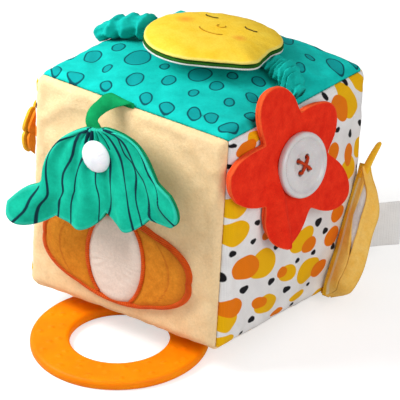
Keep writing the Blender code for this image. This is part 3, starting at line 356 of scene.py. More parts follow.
def lobed(place, tips, notches, sharp=1.0):
    stations = sorted([(*tip, True) for tip in tips] + [(*notch, False) for notch in notches])
    for first, second in zip(stations, stations[1:]):
        if first[0] <= place <= second[0]:
            share = (place - first[0]) / (second[0] - first[0])
            tip, notch = (first, second) if first[-1] else (second, first)
            toTip = 1 - share if first[-1] else share
            swell = math.sin(math.pi / 2 * toTip) ** sharp
            return notch[1] + (tip[1] - notch[1]) * swell, swell * toTip, tip[0]
    return stations[-1][1], 0.0, stations[-1][0]


def wayAlong(route, along):
    # the step of a route at a share of it, and the direction there
    step = round(along * (len(route) - 1))
    return step, (route[min(step + 1, len(route) - 1)] - route[max(step - 1, 0)]).normalized()


def threadLine(points, radius, name, finish):
    # a sewn thread line on the disc, as a mesh tube
    route = smoothRoute(points, 5)

    def ringPlace(angle, along):
        step, ahead = wayAlong(route, along)
        side = ahead.orthogonal().normalized()
        other = ahead.cross(side)
        ends = math.sqrt(max(1 - (2 * along - 1) ** 8, 0.04))
        return route[step] + (side * math.cos(angle) + other * math.sin(angle)) * radius * ends

    finishPiece(tube(8, len(route) - 1, ringPlace), name, finish, "sun", slot="sun_cotton")


# Block: crowned panels, its sim gives the wrinkles
blockShape = {
    "half": 0.0515,
    "round": 0.005,
    "sideCrown": 0.0025,
    "topCrown": 0.0045,
    "cloth": 0.0016,
    "cells": 40,
    "finer": 3,
    "seamDepth": 0.00035,
    "seamHalfWidth": 0.0009,
    "pucker": 0.00045,
    "puckerPitch": 0.0052,
    "puckerReach": 0.0065,
    "pressure": 4.0,
    "slack": -0.035,
    "wrinkleCap": 0.0009,
    "frames": 20,
    "stitchPitch": 0.0026,
    "stitchDepth": 0.00018,
}


def sideOf(face, across, up):
    return {
        "front": (across, -1, up), "right": (1, across, up), "back": (-across, 1, up),
        "left": (-1, -across, up), "top": (across, up, 1), "bottom": (across, -up, -1),
    }[face]


def settled(place):
    # the soft block sinks at its rear left corner, domes at the rear and bulges at the front left edge
    x, y, z = place
    sink = ease((0.005 - x) / 0.05) * ease((y + 0.012) / 0.05) * ease((z - 0.045) / 0.058)
    dome = ease((y + 0.01) / 0.05) * max(1 - ((x - 0.018) / 0.045) ** 2, 0.0) ** 2 * ease((z - 0.06) / 0.043)
    bulge = ease(-y / 0.045) * ease(-x / 0.045) * ease(0.2 + (0.103 - z) / 0.010) * max(z / 0.093, 0.0) ** 1.3
    return place + Vector((0.001 * sink - 0.0030 * bulge, -0.0012 * sink, 0.0014 * dome - 0.0026 * sink))


def blockPoint(cube, lift=0.0):
    half, rounding = blockShape["half"], blockShape["round"]
    flat = half - rounding
    cube = Vector(cube)
    point = cube * half
    inner = Vector([min(max(c, -flat), flat) for c in point])
    steepest = sorted(abs(c) for c in cube)[1]
    groove = 0.0003 * ease((steepest * half - flat) / rounding)
    place = inner + (point - inner).normalized() * (rounding - groove + lift)
    for axis in range(3):
        if abs(cube[axis]) > 0.9997:
            a, b = [cube[other] for other in range(3) if other != axis]
            crown = blockShape["topCrown"] if axis == 2 and cube.z > 0 else blockShape["sideCrown"]
            if axis == 2 and cube.z < 0:
                crown = 0.0
            place[axis] += math.copysign(crown * max((1 - a ** 4) * (1 - b ** 4), 0.0), cube[axis])
    place.z += half
    return settled(place)


def facePoint(face, across, up, height=0.0):
    half = blockShape["half"]
    return blockPoint(sideOf(face, across / half, up / half), height)


def simulate(bm, hold):
    # pressure swells the closed cloth between its held seams; returns how far each point went
    bm.verts.index_update()
    mesh = bpy.data.meshes.new("fitting")
    bm.to_mesh(mesh)
    before = numpy.array([v.co[:] for v in mesh.vertices])
    form = bpy.data.objects.new("fitting", mesh)
    scene.collection.objects.link(form)
    seams = form.vertex_groups.new(name="seams")
    for index, weight in enumerate(hold):
        seams.add([index], weight, "REPLACE")
    cloth = form.modifiers.new("cloth", "CLOTH")
    cloth.settings.quality = 5
    cloth.settings.mass = 0.2
    cloth.settings.bending_stiffness = 0.2
    cloth.settings.use_pressure = True
    cloth.settings.uniform_pressure_force = blockShape["pressure"]
    cloth.settings.shrink_min = blockShape["slack"]
    cloth.settings.vertex_group_mass = "seams"
    cloth.settings.effector_weights.gravity = 0.0
    cloth.collision_settings.use_collision = False
    cloth.point_cache.frame_start, cloth.point_cache.frame_end = 1, blockShape["frames"]
    for step in range(1, blockShape["frames"] + 1):
        scene.frame_set(step)
    swollen = form.evaluated_get(bpy.context.evaluated_depsgraph_get()).data
    after = numpy.array([v.co[:] for v in swollen.vertices])
    scene.frame_set(1)
    bpy.data.objects.remove(form, do_unlink=True)
    bpy.data.meshes.remove(mesh)
    return after - before


def evened(values, edges, rounds):
    # averages values along the mesh's edges
    values = values.copy()
    count = numpy.bincount(edges.ravel(), minlength=len(values)) + 1.0
    for _ in range(rounds):
        total = values + numpy.bincount(edges[:, 0], values[edges[:, 1]], len(values))
        total += numpy.bincount(edges[:, 1], values[edges[:, 0]], len(values))
        values = total / count
    return values


def edgeArray(bm):
    bm.verts.index_update()
    return numpy.array([(e.verts[0].index, e.verts[1].index) for e in bm.edges])


def blockCloth():
    # the whole outer cloth on the unit cube's grid, shaped at the end
    bm = bmesh.new()
    bmesh.ops.create_cube(bm, size=2.0)
    bmesh.ops.subdivide_edges(bm, edges=bm.edges[:], cuts=blockShape["cells"] - 1, use_grid_fill=True)
    cubes = [v.co.copy() for v in bm.verts]
    for vert, cube in zip(bm.verts, cubes):
        vert.co = blockPoint(cube, -0.001)
    bm.normal_update()
    normals = numpy.array([v.normal[:] for v in bm.verts])
    inset = [(1 - sorted(abs(c) for c in cube)[1]) * blockShape["half"] for cube in cubes]
    hold = [1 - ease(distance / 0.006) for distance in inset]
    went = simulate(bm, hold)
    rise = (went * normals).sum(axis=1)
    ripple = rise - evened(rise, edgeArray(bm), 14)
    cap = blockShape["wrinkleCap"]
    ripple = cap * numpy.tanh(ripple / cap)
    print("block cloth ripple, mm:", round(float(ripple.min()) * 1000, 2), round(float(ripple.max()) * 1000, 2))
    layer = bm.verts.layers.float.new("ripple")
    for vert, cube, value in zip(bm.verts, cubes, ripple):
        vert.co = cube
        vert[layer] = value
    bmesh.ops.subdivide_edges(bm, edges=bm.edges[:], cuts=blockShape["finer"] - 1, use_grid_fill=True)
    layer = bm.verts.layers.float["ripple"]
    fineRipple = evened(numpy.array([v[layer] for v in bm.verts]), edgeArray(bm), 5)
    for face in bm.faces:
        middle = face.calc_center_median()
        axis = max(range(3), key=lambda a: abs(middle[a]))
        face.material_index = 2 * axis + (middle[axis] > 0)
    for vert, value in zip(bm.verts, fineRipple):
        vert.co = clothPoint(vert.co.copy(), value)
    return bm


def clothPoint(cube, ripple):
    half = blockShape["half"]
    order = sorted(range(3), key=lambda a: abs(cube[a]))
    away = (1 - abs(cube[order[1]])) * half
    along = cube[order[0]] * half
    seam = sum((cube[a] > 0) * 2 ** a for a in order[1:]) + 8 * order[0]
    gather = wobble(along / blockShape["puckerPitch"], seam * 3.7, away / 0.02)
    fade = math.exp(-away / blockShape["puckerReach"])
    pucker = blockShape["pucker"] * gather * fade * ease(away / 0.0012)
    groove = blockShape["seamDepth"] * (1 - ease(away / blockShape["seamHalfWidth"]))
    stitch = blockShape["stitchDepth"] * math.cos(math.tau * along / blockShape["stitchPitch"])
    stitch *= 1 - ease(away / 0.0022)  # stitches show beside the seam only
    return blockPoint(cube, ripple + pucker - groove + stitch)


# Prints: fields of distance to each spot's edge, in mm
topSpots = (  # x, y, half length, half width and turn in degrees, all in mm
    (-43.5, -3.5, 4.5, 4.0, 0), (-35.8, -14.5, 4.8, 3.0, 110), (-22, -19, 8.2, 5.6, 105),
    (-8, -18.5, 3.2, 2.3, 110), (8.3, -14.8, 7.0, 5.2, 105), (20.3, -19, 4.6, 3.3, 115),
    (19, -5.5, 3.0, 2.6, 140), (30.5, -2, 4.4, 2.9, 150), (37.5, -16.4, 4.8, 2.9, 135),
    (33.1, -27.1, 3.6, 2.5, 121), (45.6, -28.6, 3.5, 2.8, 105), (-40, -27.5, 6.8, 3.8, 112),
    (-48, -15, 4, 1.5, 95), (-48, -32, 3.5, 1.5, 95), (-27, -34.5, 3.5, 2.2, 108), (1.5, -28.2, 5.0, 3.2, 110),
    (-11, -35.8, 5.5, 3.9, 108), (16.8, -31, 3.6, 2.4, 108), (-45.4, -46.6, 3.7, 2.5, 138),
    (-34.7, -46.9, 4.7, 2.9, 171), (-19.0, -46.0, 3.6, 2.6, 147), (1.7, -44.9, 4.0, 2.9, 139),
    (13.7, -45.9, 4.2, 3.1, 162), (26.8, -43.9, 5.0, 3.2, 130), (34.4, -41.9, 4.8, 3.3, 125),
    (45.0, -43.6, 5.0, 3.8, 73), (16.5, 50.5, 4, 1.8, 165), (27, 48, 4, 2.3, 155), (43, 38, 7, 3.6, 145),
    (32, 34, 3.3, 2.0, 155), (35.5, 22, 4.5, 2.2, 135), (14, 42, 7, 3, 130), (45, 48, 5, 2, 150),
    (-46, 12, 4, 3, 100), (-44, 30, 6, 4, 110), (-30, 44, 5, 3.5, 120), (-30, 20, 4, 3, 100),
    (-10, 5, 5, 3.5, 110), (5, 20, 4, 3, 120), (-12, 47, 4, 2.8, 115), (-20, 33, 6.5, 4.5, 110),
)
yellowBlobs = (
    (-24.5, 35.2, 10, 7, -12), (-46, 14.5, 6.2, 5.5, 0), (-46, 4.5, 6, 3, 0), (-19, 13.8, 8.2, 4.6, -12),
    (-4.5, 23.5, 6.5, 4.0, -15), (4.5, 36.5, 9, 5.2, 10), (11, 19.5, 8.6, 5.6, 5), (37, 59, 7, 6, 0),
    (34.5, 92, 11, 5.5, -55), (44, 98, 7, 3.5, -45), (46, 66, 3, 5, 0), (15, 105, 4, 2.5, 0), (-34, 98, 5, 2.5, 0),
    (-47, 103, 6, 2, 0), (-44, 69, 8, 6, 0), (-44, 56, 8, 6, -5), (5, 9, 6, 2, 0), (-2, 62, 9, 6, 15),
    (12, 82, 8, 5, -20), (-20, 84, 8, 5.5, 10),
    (41, 24, 7, 5, -20), (46, 8, 5, 3.6, 0), (24, 3.5, 6, 2.5, 0),
)
orangeBlobs = (
    (-36, 37.2, 9.2, 5.8, -12), (-44, 20.2, 7.8, 4.4, -10), (-24, 16, 5.2, 2.9, -15), (-8.5, 25.3, 4.2, 2.6, -12),
    (10.5, 32, 5.5, 3.6, 0), (20, 17, 6, 4, 0), (31, 40, 5, 4, 0), (28, 30, 6, 4.5, 0), (37.5, 66, 5.5, 4, 100),
    (24.5, 71.5, 4, 5, 0), (29.5, 91, 9, 4.5, -50), (6, 105, 4, 2.5, 0), (-40, 95, 7, 3.5, 5), (-22, 48.5, 4, 2.5, 0),
    (-9, 6, 5, 1.5, 0), (-8, 56, 6, 4, 20), (6, 76, 6, 3.6, -10), (-28, 79, 6, 3.6, 15),
    (47, 30, 4, 3, 0), (36, 8, 6, 3.4, -15),
)
blackDots = (
    (-48, 98.7, 1.8, 1, 0), (-38.5, 104.5, 1.8, 1, 0), (-49.5, 89, 1.6, 1.2, 0), (-24.5, 60.9, 2.2, 1.4, -30),
    (-30.3, 57, 2.3, 1.3, -20), (-32.5, 48.7, 2.1, 1.3, 0), (-45.5, 46.8, 2, 1.5, 0), (-50, 36, 2.5, 2.3, 0),
    (-35.5, 26.2, 2.8, 1.9, 0), (-17, 24, 2.6, 1.6, 0), (-28, 9.2, 2.6, 1.4, 0), (-34.3, 4.5, 1.5, 1.1, 0),
    (-3.5, 15, 2.5, 1.6, 0), (2, 27.5, 1.9, 1.2, 0), (14.3, 27, 1.8, 1.2, 0), (16.5, 40.8, 2.6, 2, 0),
    (22.2, 34.7, 2, 1.5, 0), (29.5, 24.5, 2, 1.5, 0), (14, 11.2, 1.5, 0.9, 0), (18.8, 99.5, 1.9, 1.4, -60),
    (35, 101, 1.9, 1.4, -60), (27, 81.5, 2, 1.2, 0), (38.5, 75.5, 2.5, 1.5, -60), (45.8, 78.2, 1.9, 1.2, -60),
    (47.3, 57, 1.8, 1.3, 0), (-15, 40, 2, 1.3, 0), (22, 106, 1.6, 1, 0), (2.5, 5.5, 1.6, 1, 0),
    (41, 14.8, 2, 1.4, 0), (49, 18, 1.6, 1.2, 0), (30.5, 13.5, 1.8, 1.2, 0), (44, 45, 2, 1.4, -30),
)


def spotField(places, spots, ragged):
    field = numpy.full(len(places), 9.0)
    for number, (x, y, a, b, deg) in enumerate(spots):
        turn = math.radians(deg)
        off = places - numpy.array((x, y))
        u = off[:, 0] * math.cos(turn) + off[:, 1] * math.sin(turn)
        v = off[:, 1] * math.cos(turn) - off[:, 0] * math.sin(turn)
        around = numpy.arctan2(v, u)
        reach = numpy.hypot(u / a, v / b) * (1 + ragged * numpy.sin(3 * around + number * 1.9))
        away = numpy.where(reach > 0.05, numpy.hypot(u, v) * (1 - 1 / numpy.maximum(reach, 0.05)), -min(a, b))
        field = numpy.minimum(field, away)
    return field


sidePrints = {"yellow": (yellowBlobs, 0.04), "orange": (orangeBlobs, 0.04), "dot": (blackDots, 0.10)}


def printPlaces(side, spots):
    # points on the flat cloth in mm, and what is printed there
    if side == "top":
        return spots[:, :2], {"spot": (topSpots, 0.03)}
    if side == "right":
        return spots[:, 1:], sidePrints
    if side == "left":  # the same print turned half round
        return numpy.stack((spots[:, 1] * -1, 103 - spots[:, 2]), axis=1), sidePrints
    return spots, {}


def topPrint(tree, colour):
    colour = printAndPaintedLight(tree, colour, "spot", -99, -0.3, "#06A09F")
    return printAndPaintedLight(tree, colour, "spot", -0.75, 0.02, "#04505A", soft=0.14)


def blobPrint(tree, colour):
    colour = printAndPaintedLight(tree, colour, "yellow", -99, 0, "#EDB304")
    colour = printAndPaintedLight(tree, colour, "orange", -99, 0, "#E87806")
    return printAndPaintedLight(tree, colour, "dot", -99, 0, "#17161A", soft=0.2)


plushFinish = clothFinish("peachPlushShortPile", {  # brushed polyester plush: matte, soft clumps of pile
    "light": "#FBDBAA", "shade": "#F7D29E", "mottle": 5.0, "grain": 1.1, "grainAndHollowShade": 0.13, "bump": 0.5,
    "relief": 0.55, "sheen": 0.12})
tealFinish = clothFinish("tealPrintedPlush", {  # dyed plush with printed spots: velvety, bright nap
    "light": "#12CFC3", "shade": "#08B9AF", "mottle": 9.0, "grain": 0.9, "grainAndHollowShade": 0.10, "bump": 0.35,
    "relief": 0.4, "sheen": 0.05}, topPrint)
printFinish = clothFinish("whitePrintedCotton", {  # plain woven cotton, screen printed: thread grid shows faintly
    "light": "#EFEDEB", "shade": "#E2DFDE", "mottle": 12.0, "grain": 0.7, "grainAndHollowShade": 0.08, "bump": 0.12,
    "relief": 0.4, "thread": 0.9, "sheen": 0.05}, blobPrint)

sides = {
    "left": (0, printFinish, "spot_print"), "right": (1, printFinish, "spot_print"),
    "front": (2, plushFinish, "peach_plush"), "back": (3, plushFinish, "peach_plush"),
    "bottom": (4, plushFinish, "peach_plush"), "top": (5, tealFinish, "teal_print"),
}


def makePanels():
    whole = blockCloth()
    shape = bpy.data.meshes.new("block")
    whole.to_mesh(shape)
    whole.free()
    for side, (index, finish, slot) in sides.items():
        bm = bmesh.new()
        bm.from_mesh(shape)
        bm.verts.layers.float.remove(bm.verts.layers.float["ripple"])
        others = [face for face in bm.faces if face.material_index != index]
        bmesh.ops.delete(bm, geom=others, context="FACES")
        for face in bm.faces:
            face.material_index = 0
        spots = numpy.array([v.co[:] for v in bm.verts]) * 1000
        flat, prints = printPlaces(side, spots)
        for name, (shapes, ragged) in prints.items():
            layer = bm.verts.layers.float.new(name)
            for vert, value in zip(bm.verts, spotField(flat, shapes, ragged)):
                vert[layer] = float(value)
        if side == "bottom":  # lies flat where the rear edge stands on the floor
            bm.transform(toWorld)
            for vert in bm.verts:
                vert.co.z = max(vert.co.z, 0.0)
            bm.transform(toWorld.inverted())
        panel = finishPiece(bm, side + "Panel", finish, "block", [side + "_panel"], slot)
        thicken(panel, blockShape["cloth"], -1.0)
    bpy.data.meshes.remove(shape)


makePanels()
print("block panels done")


# Filling and rattle inside
fibreFinish = clothFinish("polyesterFibre", {  # loose polyester fibre: white, fluffy, no shine
    "light": "#F6F6F2", "shade": "#DEDEDA", "mottle": 7.0, "grain": 1.4, "grainAndHollowShade": 0.18, "bump": 1.0, "sheen": 0.08})
rattle = {"radius": 0.0148, "halfHeight": 0.0116, "inset": 0.0034}


def makeFilling():
    for name, node, up in (("fillingLower", "filling_lower", False), ("fillingUpper", "filling_upper", True)):
        bm = bmesh.new()
        bmesh.ops.create_cube(bm, size=2.0)
        bmesh.ops.subdivide_edges(bm, edges=bm.edges[:], cuts=23, use_grid_fill=True)
        for vert in bm.verts:
            tuft = 0.0006 * wobble(*(vert.co * 9))
            vert.co = blockPoint(vert.co.copy(), -rattle["inset"] + tuft)
        side = 1 if up else -1
        cut = Vector((0, 0, blockShape["half"] + side * 0.00015))
        found = bmesh.ops.bisect_plane(
            bm, geom=bm.verts[:] + bm.edges[:] + bm.faces[:], plane_co=cut, plane_no=(0, 0, side), clear_inner=True)
        rim = [item for item in found["geom_cut"] if isinstance(item, bmesh.types.BMEdge)]
        bmesh.ops.contextual_create(bm, geom=rim)
        bmesh.ops.recalc_face_normals(bm, faces=bm.faces)
        pocket = bmesh.new()
        bmesh.ops.create_cone(
            pocket, cap_ends=True, segments=48, radius1=rattle["radius"], radius2=rattle["radius"],
            depth=2 * rattle["halfHeight"], matrix=Matrix.Translation((0, 0, blockShape["half"])))
        pocket.transform(toWorld)
        cutterMesh = bpy.data.meshes.new("pocket")
        pocket.to_mesh(cutterMesh)
        pocket.free()
        cutter = bpy.data.objects.new("pocket", cutterMesh)
        scene.collection.objects.link(cutter)
        half = finishPiece(bm, name, fibreFinish, "block", [node], "fibre_filling")
        applyCut(half, cutter)


def applyCut(piece, cutter, operation="DIFFERENCE"):
    # cuts with another mesh and keeps the result as the piece's own mesh
    modifier = piece.modifiers.new("cut", "BOOLEAN")
    modifier.operation, modifier.solver, modifier.object = operation, "EXACT", cutter
    graph = bpy.context.evaluated_depsgraph_get()
    shaped = bpy.data.meshes.new_from_object(piece.evaluated_get(graph), depsgraph=graph)
    piece.modifiers.clear()
    old = piece.data
    piece.data = shaped
    shaped.name = piece.name
    bpy.data.objects.remove(cutter, do_unlink=True)
    bpy.data.meshes.remove(old)


makeFilling()
plasticFinish = mouldedFinish("polystyreneWhite", {  # injection-moulded polystyrene: glossy, milky white
    "light": "#F2F1F3", "shade": "#EAE9EC", "cloud": 9, "grain": 0.5, "roughness": 0.22, "bump": 0.02, "glow": 0.15,
    "coat": 0.2})
rattleFinish = mouldedFinish("polypropyleneBlue", {  # moulded polypropylene: satin, slightly cloudy
    "light": "#8DB8DC", "shade": "#7BA8D0", "cloud": 12, "grain": 0.6, "roughness": 0.4, "bump": 0.03})
for node in ("rattle_case_upper", "rattle_case_lower"):
    frame["nodes"][node].material_slots[0].material = rattleFinish
for node in ("rattle_ball_1", "rattle_ball_2", "rattle_ball_3", "snap_socket", "snap_stud"):
    frame["nodes"][node].material_slots[0].material = plasticFinish
print("inside done")


# Fruit patch on the front
patch = {
    "x": -0.002, "z": 0.0300, "halfWidth": 0.0415, "halfHeight": 0.0220, "scallop": 0.045, "lobes": 6,
    "cloth": 0.0009, "puff": 0.0013, "borderWidth": 0.0030, "borderRise": 0.0019, "ribs": (-0.36, 0.36),
    "ribReach": 0.80, "ribWidth": 0.0019,
}


def patchInner(angle):
    # the border keeps one width all round the oval
    tall, wide = patch["halfHeight"], patch["halfWidth"]
    clear = tall * wide / math.hypot(tall * math.cos(angle), wide * math.sin(angle))
    return 1 - patch["borderWidth"] / clear


def patchCloth(angle):
    # the cloth ends under the border's stitches
    return 0.55 * patchInner(angle) + 0.45


def patchPoint(share, angle, height):
    lobes = 1 + patch["scallop"] * (abs(math.sin(angle * patch["lobes"] / 2)) - 1)
    across = patch["x"] + patch["halfWidth"] * share * lobes * math.cos(angle)
    up = patch["z"] - blockShape["half"] + patch["halfHeight"] * share * lobes * math.sin(angle)
    return facePoint("front", across, up, height)


def patchMeridian(share, angle):
    lobes = 1 + patch["scallop"] * (abs(math.sin(angle * patch["lobes"] / 2)) - 1)
    up = share * lobes * math.sin(angle)
    wide = math.sqrt(max(1 - up * up, 0.01))
    return share * lobes * math.cos(angle) / wide, wide


def patchPuff(share, angle):
    meridian, wide = patchMeridian(share, angle)
    nearest = min(abs(meridian - rib) for rib in patch["ribs"]) * wide * patch["halfWidth"]
    edge = (1 - share) * patch["halfHeight"]
    swell = ease(nearest / 0.005) * ease(edge / 0.004)
    return 0.0003 + patch["cloth"] + patch["puff"] * swell + 0.0002 * wobble(share * 9, angle * 4)


def fruitPrintAndEdgeShade(tree, colour):
    colour = printAndPaintedLight(tree, colour, "middle", 0, 99, "#F4E2D4", soft=0.2)
    colour = printAndPaintedLight(tree, colour, "groove", 0, 0.55, "#C9651B", soft=0.3, strength=0.8)
    # painted shade: darker orange at the cloth's edge, under and beside the raised border
    return printAndPaintedLight(tree, colour, "edge", -9, 1.6, "#B85F1E", soft=1.4, strength=0.55)


def makePatch():
    fruitFinish = clothFinish("orangePlushApplique", {  # short-pile plush applique: soft mottled nap
        "light": "#E8932A", "shade": "#D67E1E", "mottle": 4.0, "grain": 1.0, "grainAndHollowShade": 0.14, "bump": 0.4,
        "sheen": 0.05}, fruitPrintAndEdgeShade)
    ribPlace = patch["ribs"][1]
    bm = roundSheet(
        34, 200, lambda s, a: patchPoint(s * patchCloth(a), a, patchPuff(s * patchCloth(a), a)),
        {
            "middle": lambda s, a: (ribPlace - abs(patchMeridian(s * patchCloth(a), a)[0])) * 40,
            "groove": lambda s, a: abs(abs(patchMeridian(s * patchCloth(a), a)[0]) - 0.70) * 40,
            "edge": lambda s, a: (1 - s) * 22,
        })
    cloth = finishPiece(bm, "fruitPatch", fruitFinish, "block", ["fruit_patch"], "patch_cloth")
    thicken(cloth, patch["cloth"], -1.0)
    satin = clothFinish("satinStitchOrange", {  # rayon satin stitch: close bright threads lying across the line
        "light": "#F4641A", "shade": "#DE5010", "mottle": 6.0, "grain": 0.6, "grainAndHollowShade": 0.22, "bump": 0.25,
        "relief": 0.7, "roughness": 0.45, "sheen": 0.08}, ridges=0.9)

    def borderPlace(angle, along):
        # a rounded band of stitches round the patch
        around = along * math.tau
        width = 1 - patchInner(around)
        share = 1 - width / 2 + width / 2 * math.cos(angle)
        rise = patch["borderRise"] * max(math.sin(angle), -0.1)
        fuzz = 0.00006 * math.sin(around * 170)
        return patchPoint(share, around, 0.0003 + rise + fuzz)

    bm = tube(14, 340, borderPlace, {"run": lambda a, t: t * 205}, capped=False)
    finishPiece(bm, "fruitBorder", satin, "block", ["fruit_border"], "satin_stitch")
    for side, place in zip(("Left", "Right"), patch["ribs"]):

        def ribPoint(angle, along, place=place):
            up = patch["ribReach"] * 1.02 * (2 * along - 1)
            bow = math.sqrt(1 - min(up * up, 0.96)) * place
            across = patch["x"] + patch["halfWidth"] * bow + patch["ribWidth"] / 2 * math.cos(angle)
            rise = 0.0003 + patch["cloth"] + 0.0004 + 0.0007 * math.sin(angle)
            spot = patch["z"] - blockShape["half"] + patch["halfHeight"] * up
            return facePoint("front", across, spot, rise)

        bm = tube(10, 90, ribPoint, {"run": lambda a, t: t * 36})
        finishPiece(bm, "fruitRib" + side, satin, "block", ["fruit_rib_" + side.lower()], "satin_stitch")


makePatch()
print("patch done")


# Leaf flap with stalk and press stud
leaf = {
    "top": Vector((-0.0087, -0.0660, 0.0937)), "turn": 14.0, "spread": 57.0, "reach": 0.0668, "neck": 0.005,
    "flare": 0.0055, "fold": 0.0018, "cloth": 0.0011, "apart": 0.00158,
    "hem": (  # across, share of the reach, and whether it is a tip
        (-1.00, 0.915, False), (-0.905, 0.985, True), (-0.60, 0.73, False), (-0.36, 0.71, True),
        (0.00, 0.555, False), (0.32, 0.695, True), (0.55, 0.68, False), (0.84, 0.845, True), (1.00, 0.70, False)),
    "stripes": (
        ((-0.60, 0.0), (-0.93, 0.3), (-0.98, 0.47), (-0.89, 0.59), (-0.82, 0.71), (-0.72, 1.0)),
        ((-0.96, 0.73), (-0.84, 0.87), (-0.85, 1.0)),
        ((-0.74, 0.07), (-0.62, 0.4), (-0.68, 0.65), (-0.57, 1.0)),
        ((-0.39, 0.36), (-0.52, 0.68), (-0.41, 1.0)),
        ((-0.1, 0.44), (-0.12, 0.61), (-0.08, 0.78), (-0.11, 1.0)),
        ((0.21, 0.33), (0.12, 0.75), (0.03, 1.0)),
        ((0.45, 0.05), (0.45, 0.41), (0.39, 0.71), (0.35, 1.0)),
        ((0.70, 0.0), (0.79, 0.1), (0.56, 0.35), (0.63, 0.49), (0.56, 0.69), (0.45, 1.0)),
        ((0.79, 0.05), (0.72, 0.25), (0.65, 0.51), (0.72, 0.67), (0.58, 0.94), (0.6, 1.0)),
        ((0.91, 0.24), (0.82, 0.57), (0.9, 0.74), (0.80, 0.85), (0.82, 1.0)),
        ((-0.24, 0.02), (-0.26, 0.18)),
        ((0.25, 0.02), (0.28, 0.24)),
        ((-0.45, 0.04), (-0.42, 0.20)),
    ),
}


def leafPoint(across, along, back=0.0):
    size, shoulder, power = (0.85, 0.72, 1.25) if across < 0 else (1.35, 0.85, 1.6)
    lift = 1 + size * max(0.0, 1 - along / shoulder) ** power
    lift -= 0.09 * ease(-across) * math.exp(-((along - 0.72) / 0.09) ** 2)
    opened = leaf["spread"] * across * lift
    angle = math.radians(opened / (1 + (opened / 82) ** 6) ** (1 / 6) + leaf["turn"])
    tips = [(place, leaf["reach"] * share) for place, share, tip in leaf["hem"] if tip]
    notches = [(place, leaf["reach"] * share) for place, share, tip in leaf["hem"] if not tip]
    reach = lobed(across, tips, notches)[0]
    middle = (min(r for _, r in notches) + reach) / 2
    out = along * (middle + (reach - middle) * along ** 2)
    neck = leaf["neck"] * across * (1 - along)
    hem = ease((along - 0.35) / 0.65)
    forward = leaf["flare"] * hem * (1 + across ** 2) / 2
    fold = leaf["fold"] * hem * math.cos(math.tau * across / 0.58)
    fine = 0.0006 * math.sin(across * 23 + 1.4 * math.sin(along * 5)) * ease(along / 0.5)
    gather = 0.0007 * math.sin(across * 30) * (1 - ease(along / 0.35))
    turn = math.radians(leaf["turn"])
    return leaf["top"] + Vector((
        out * math.sin(angle) + neck * math.cos(turn),
        -forward + fold + back + fine + gather,
        -out * math.cos(angle) + neck * math.sin(turn)))


def stripeField(across, along):
    # distance to the nearest stripe in mm, measured on the opened leaf
    def flat(a, b):
        return Vector((math.sin(math.radians(57 * a)), math.cos(math.radians(57 * a)))) * (b * 48 + 3)

    here, nearest = flat(across, along), 9.0
    for line in leaf["flatStripes"]:
        for first, second in zip(line, line[1:]):
            way = second - first
            share = min(max((here - first).dot(way) / way.length_squared, 0.0), 1.0)
            nearest = min(nearest, (here - first - way * share).length)
    return nearest * (1.5 - 0.5 * along)


def leafRim(across, along):
    # distance to the leaf's own edge, in mm
    tall = leaf["reach"] * 1000 * 0.75
    return min((1 - along) * tall, (1 - abs(across)) * along * tall, along * tall)


def leafPrintAndRimHighlight(tree, colour):
    # painted highlight: a lighter teal band along the leaf's rim
    colour = printAndPaintedLight(tree, colour, "rim", -9, 1.1, "#35D0B4", soft=0.5, strength=0.75)
    return printAndPaintedLight(tree, colour, "stripe", -9, 0.52, "#0B3240", soft=0.14)


def makeLeaf():
    leaf["flatStripes"] = [
        [Vector((math.sin(math.radians(57 * a)), math.cos(math.radians(57 * a)))) * (b * 48 + 3)
         for a, b in smoothPairs(line)] for line in leaf["stripes"]]
    leafFinish = clothFinish("leafCottonPrintAndRimHighlight", {  # brushed cotton, printed with dark veins, with a painted highlight along its rim
        "light": "#12C09E", "shade": "#07A387", "mottle": 7.0, "grain": 0.9, "grainAndHollowShade": 0.12, "bump": 0.25,
        "relief": 0.4, "sheen": 0.08}, leafPrintAndRimHighlight)
    liningFinish = clothFinish("liningCotton", {  # plain cotton lining, a deeper green
        "light": "#10945F", "shade": "#0B7C4E", "mottle": 8.0, "grain": 0.8, "grainAndHollowShade": 0.1, "bump": 0.15,
        "thread": 1.0})
    for name, node, back, finish, slot in (
        ("leafFront", "leaf_front", 0.0, leafFinish, "leaf_cotton"),
        ("leafLining", "leaf_lining", leaf["apart"], liningFinish, "stalk_felt"),
    ):
        fields = {"stripe": stripeField, "rim": leafRim} if back == 0 else {"rim": leafRim}
        bm = gridSheet(150, 64, lambda c, a, b=back: leafPoint(c, a, b), fields)
        sheet = finishPiece(bm, name, finish, "leaf", [node], slot)
        thicken(sheet, leaf["cloth"], 0.0)


def smoothPairs(line):
    return [(p.x, p.y) for p in smoothRoute([(a, b, 0) for a, b in line], 4)]


makeLeaf()

stalk = {  # the felt strip's two edges, from the seam down to the leaf
    "thick": 0.0014,
    "outer": (
        (-11.5, -49.0, 100.0), (-12.3, -50.3, 103.6), (-14.0, -54.0, 103.8), (-14.4, -57.5, 102.6),
        (-14.9, -60.5, 101.2), (-15.5, -62.3, 99.2), (-15.8, -63.1, 96.7), (-15.8, -63.3, 94.0), (-14.6, -63.2, 90.8)),
    "inner": (
        (-1.0, -49.0, 99.5), (-1.6, -50.5, 102.4), (-6.0, -54.0, 101.1), (-8.7, -57.5, 99.5), (-9.8, -60.5, 98.2),
        (-10.1, -62.3, 97.2), (-10.0, -63.1, 96.0), (-8.8, -63.3, 94.4), (-7.0, -63.2, 91.2)),
}


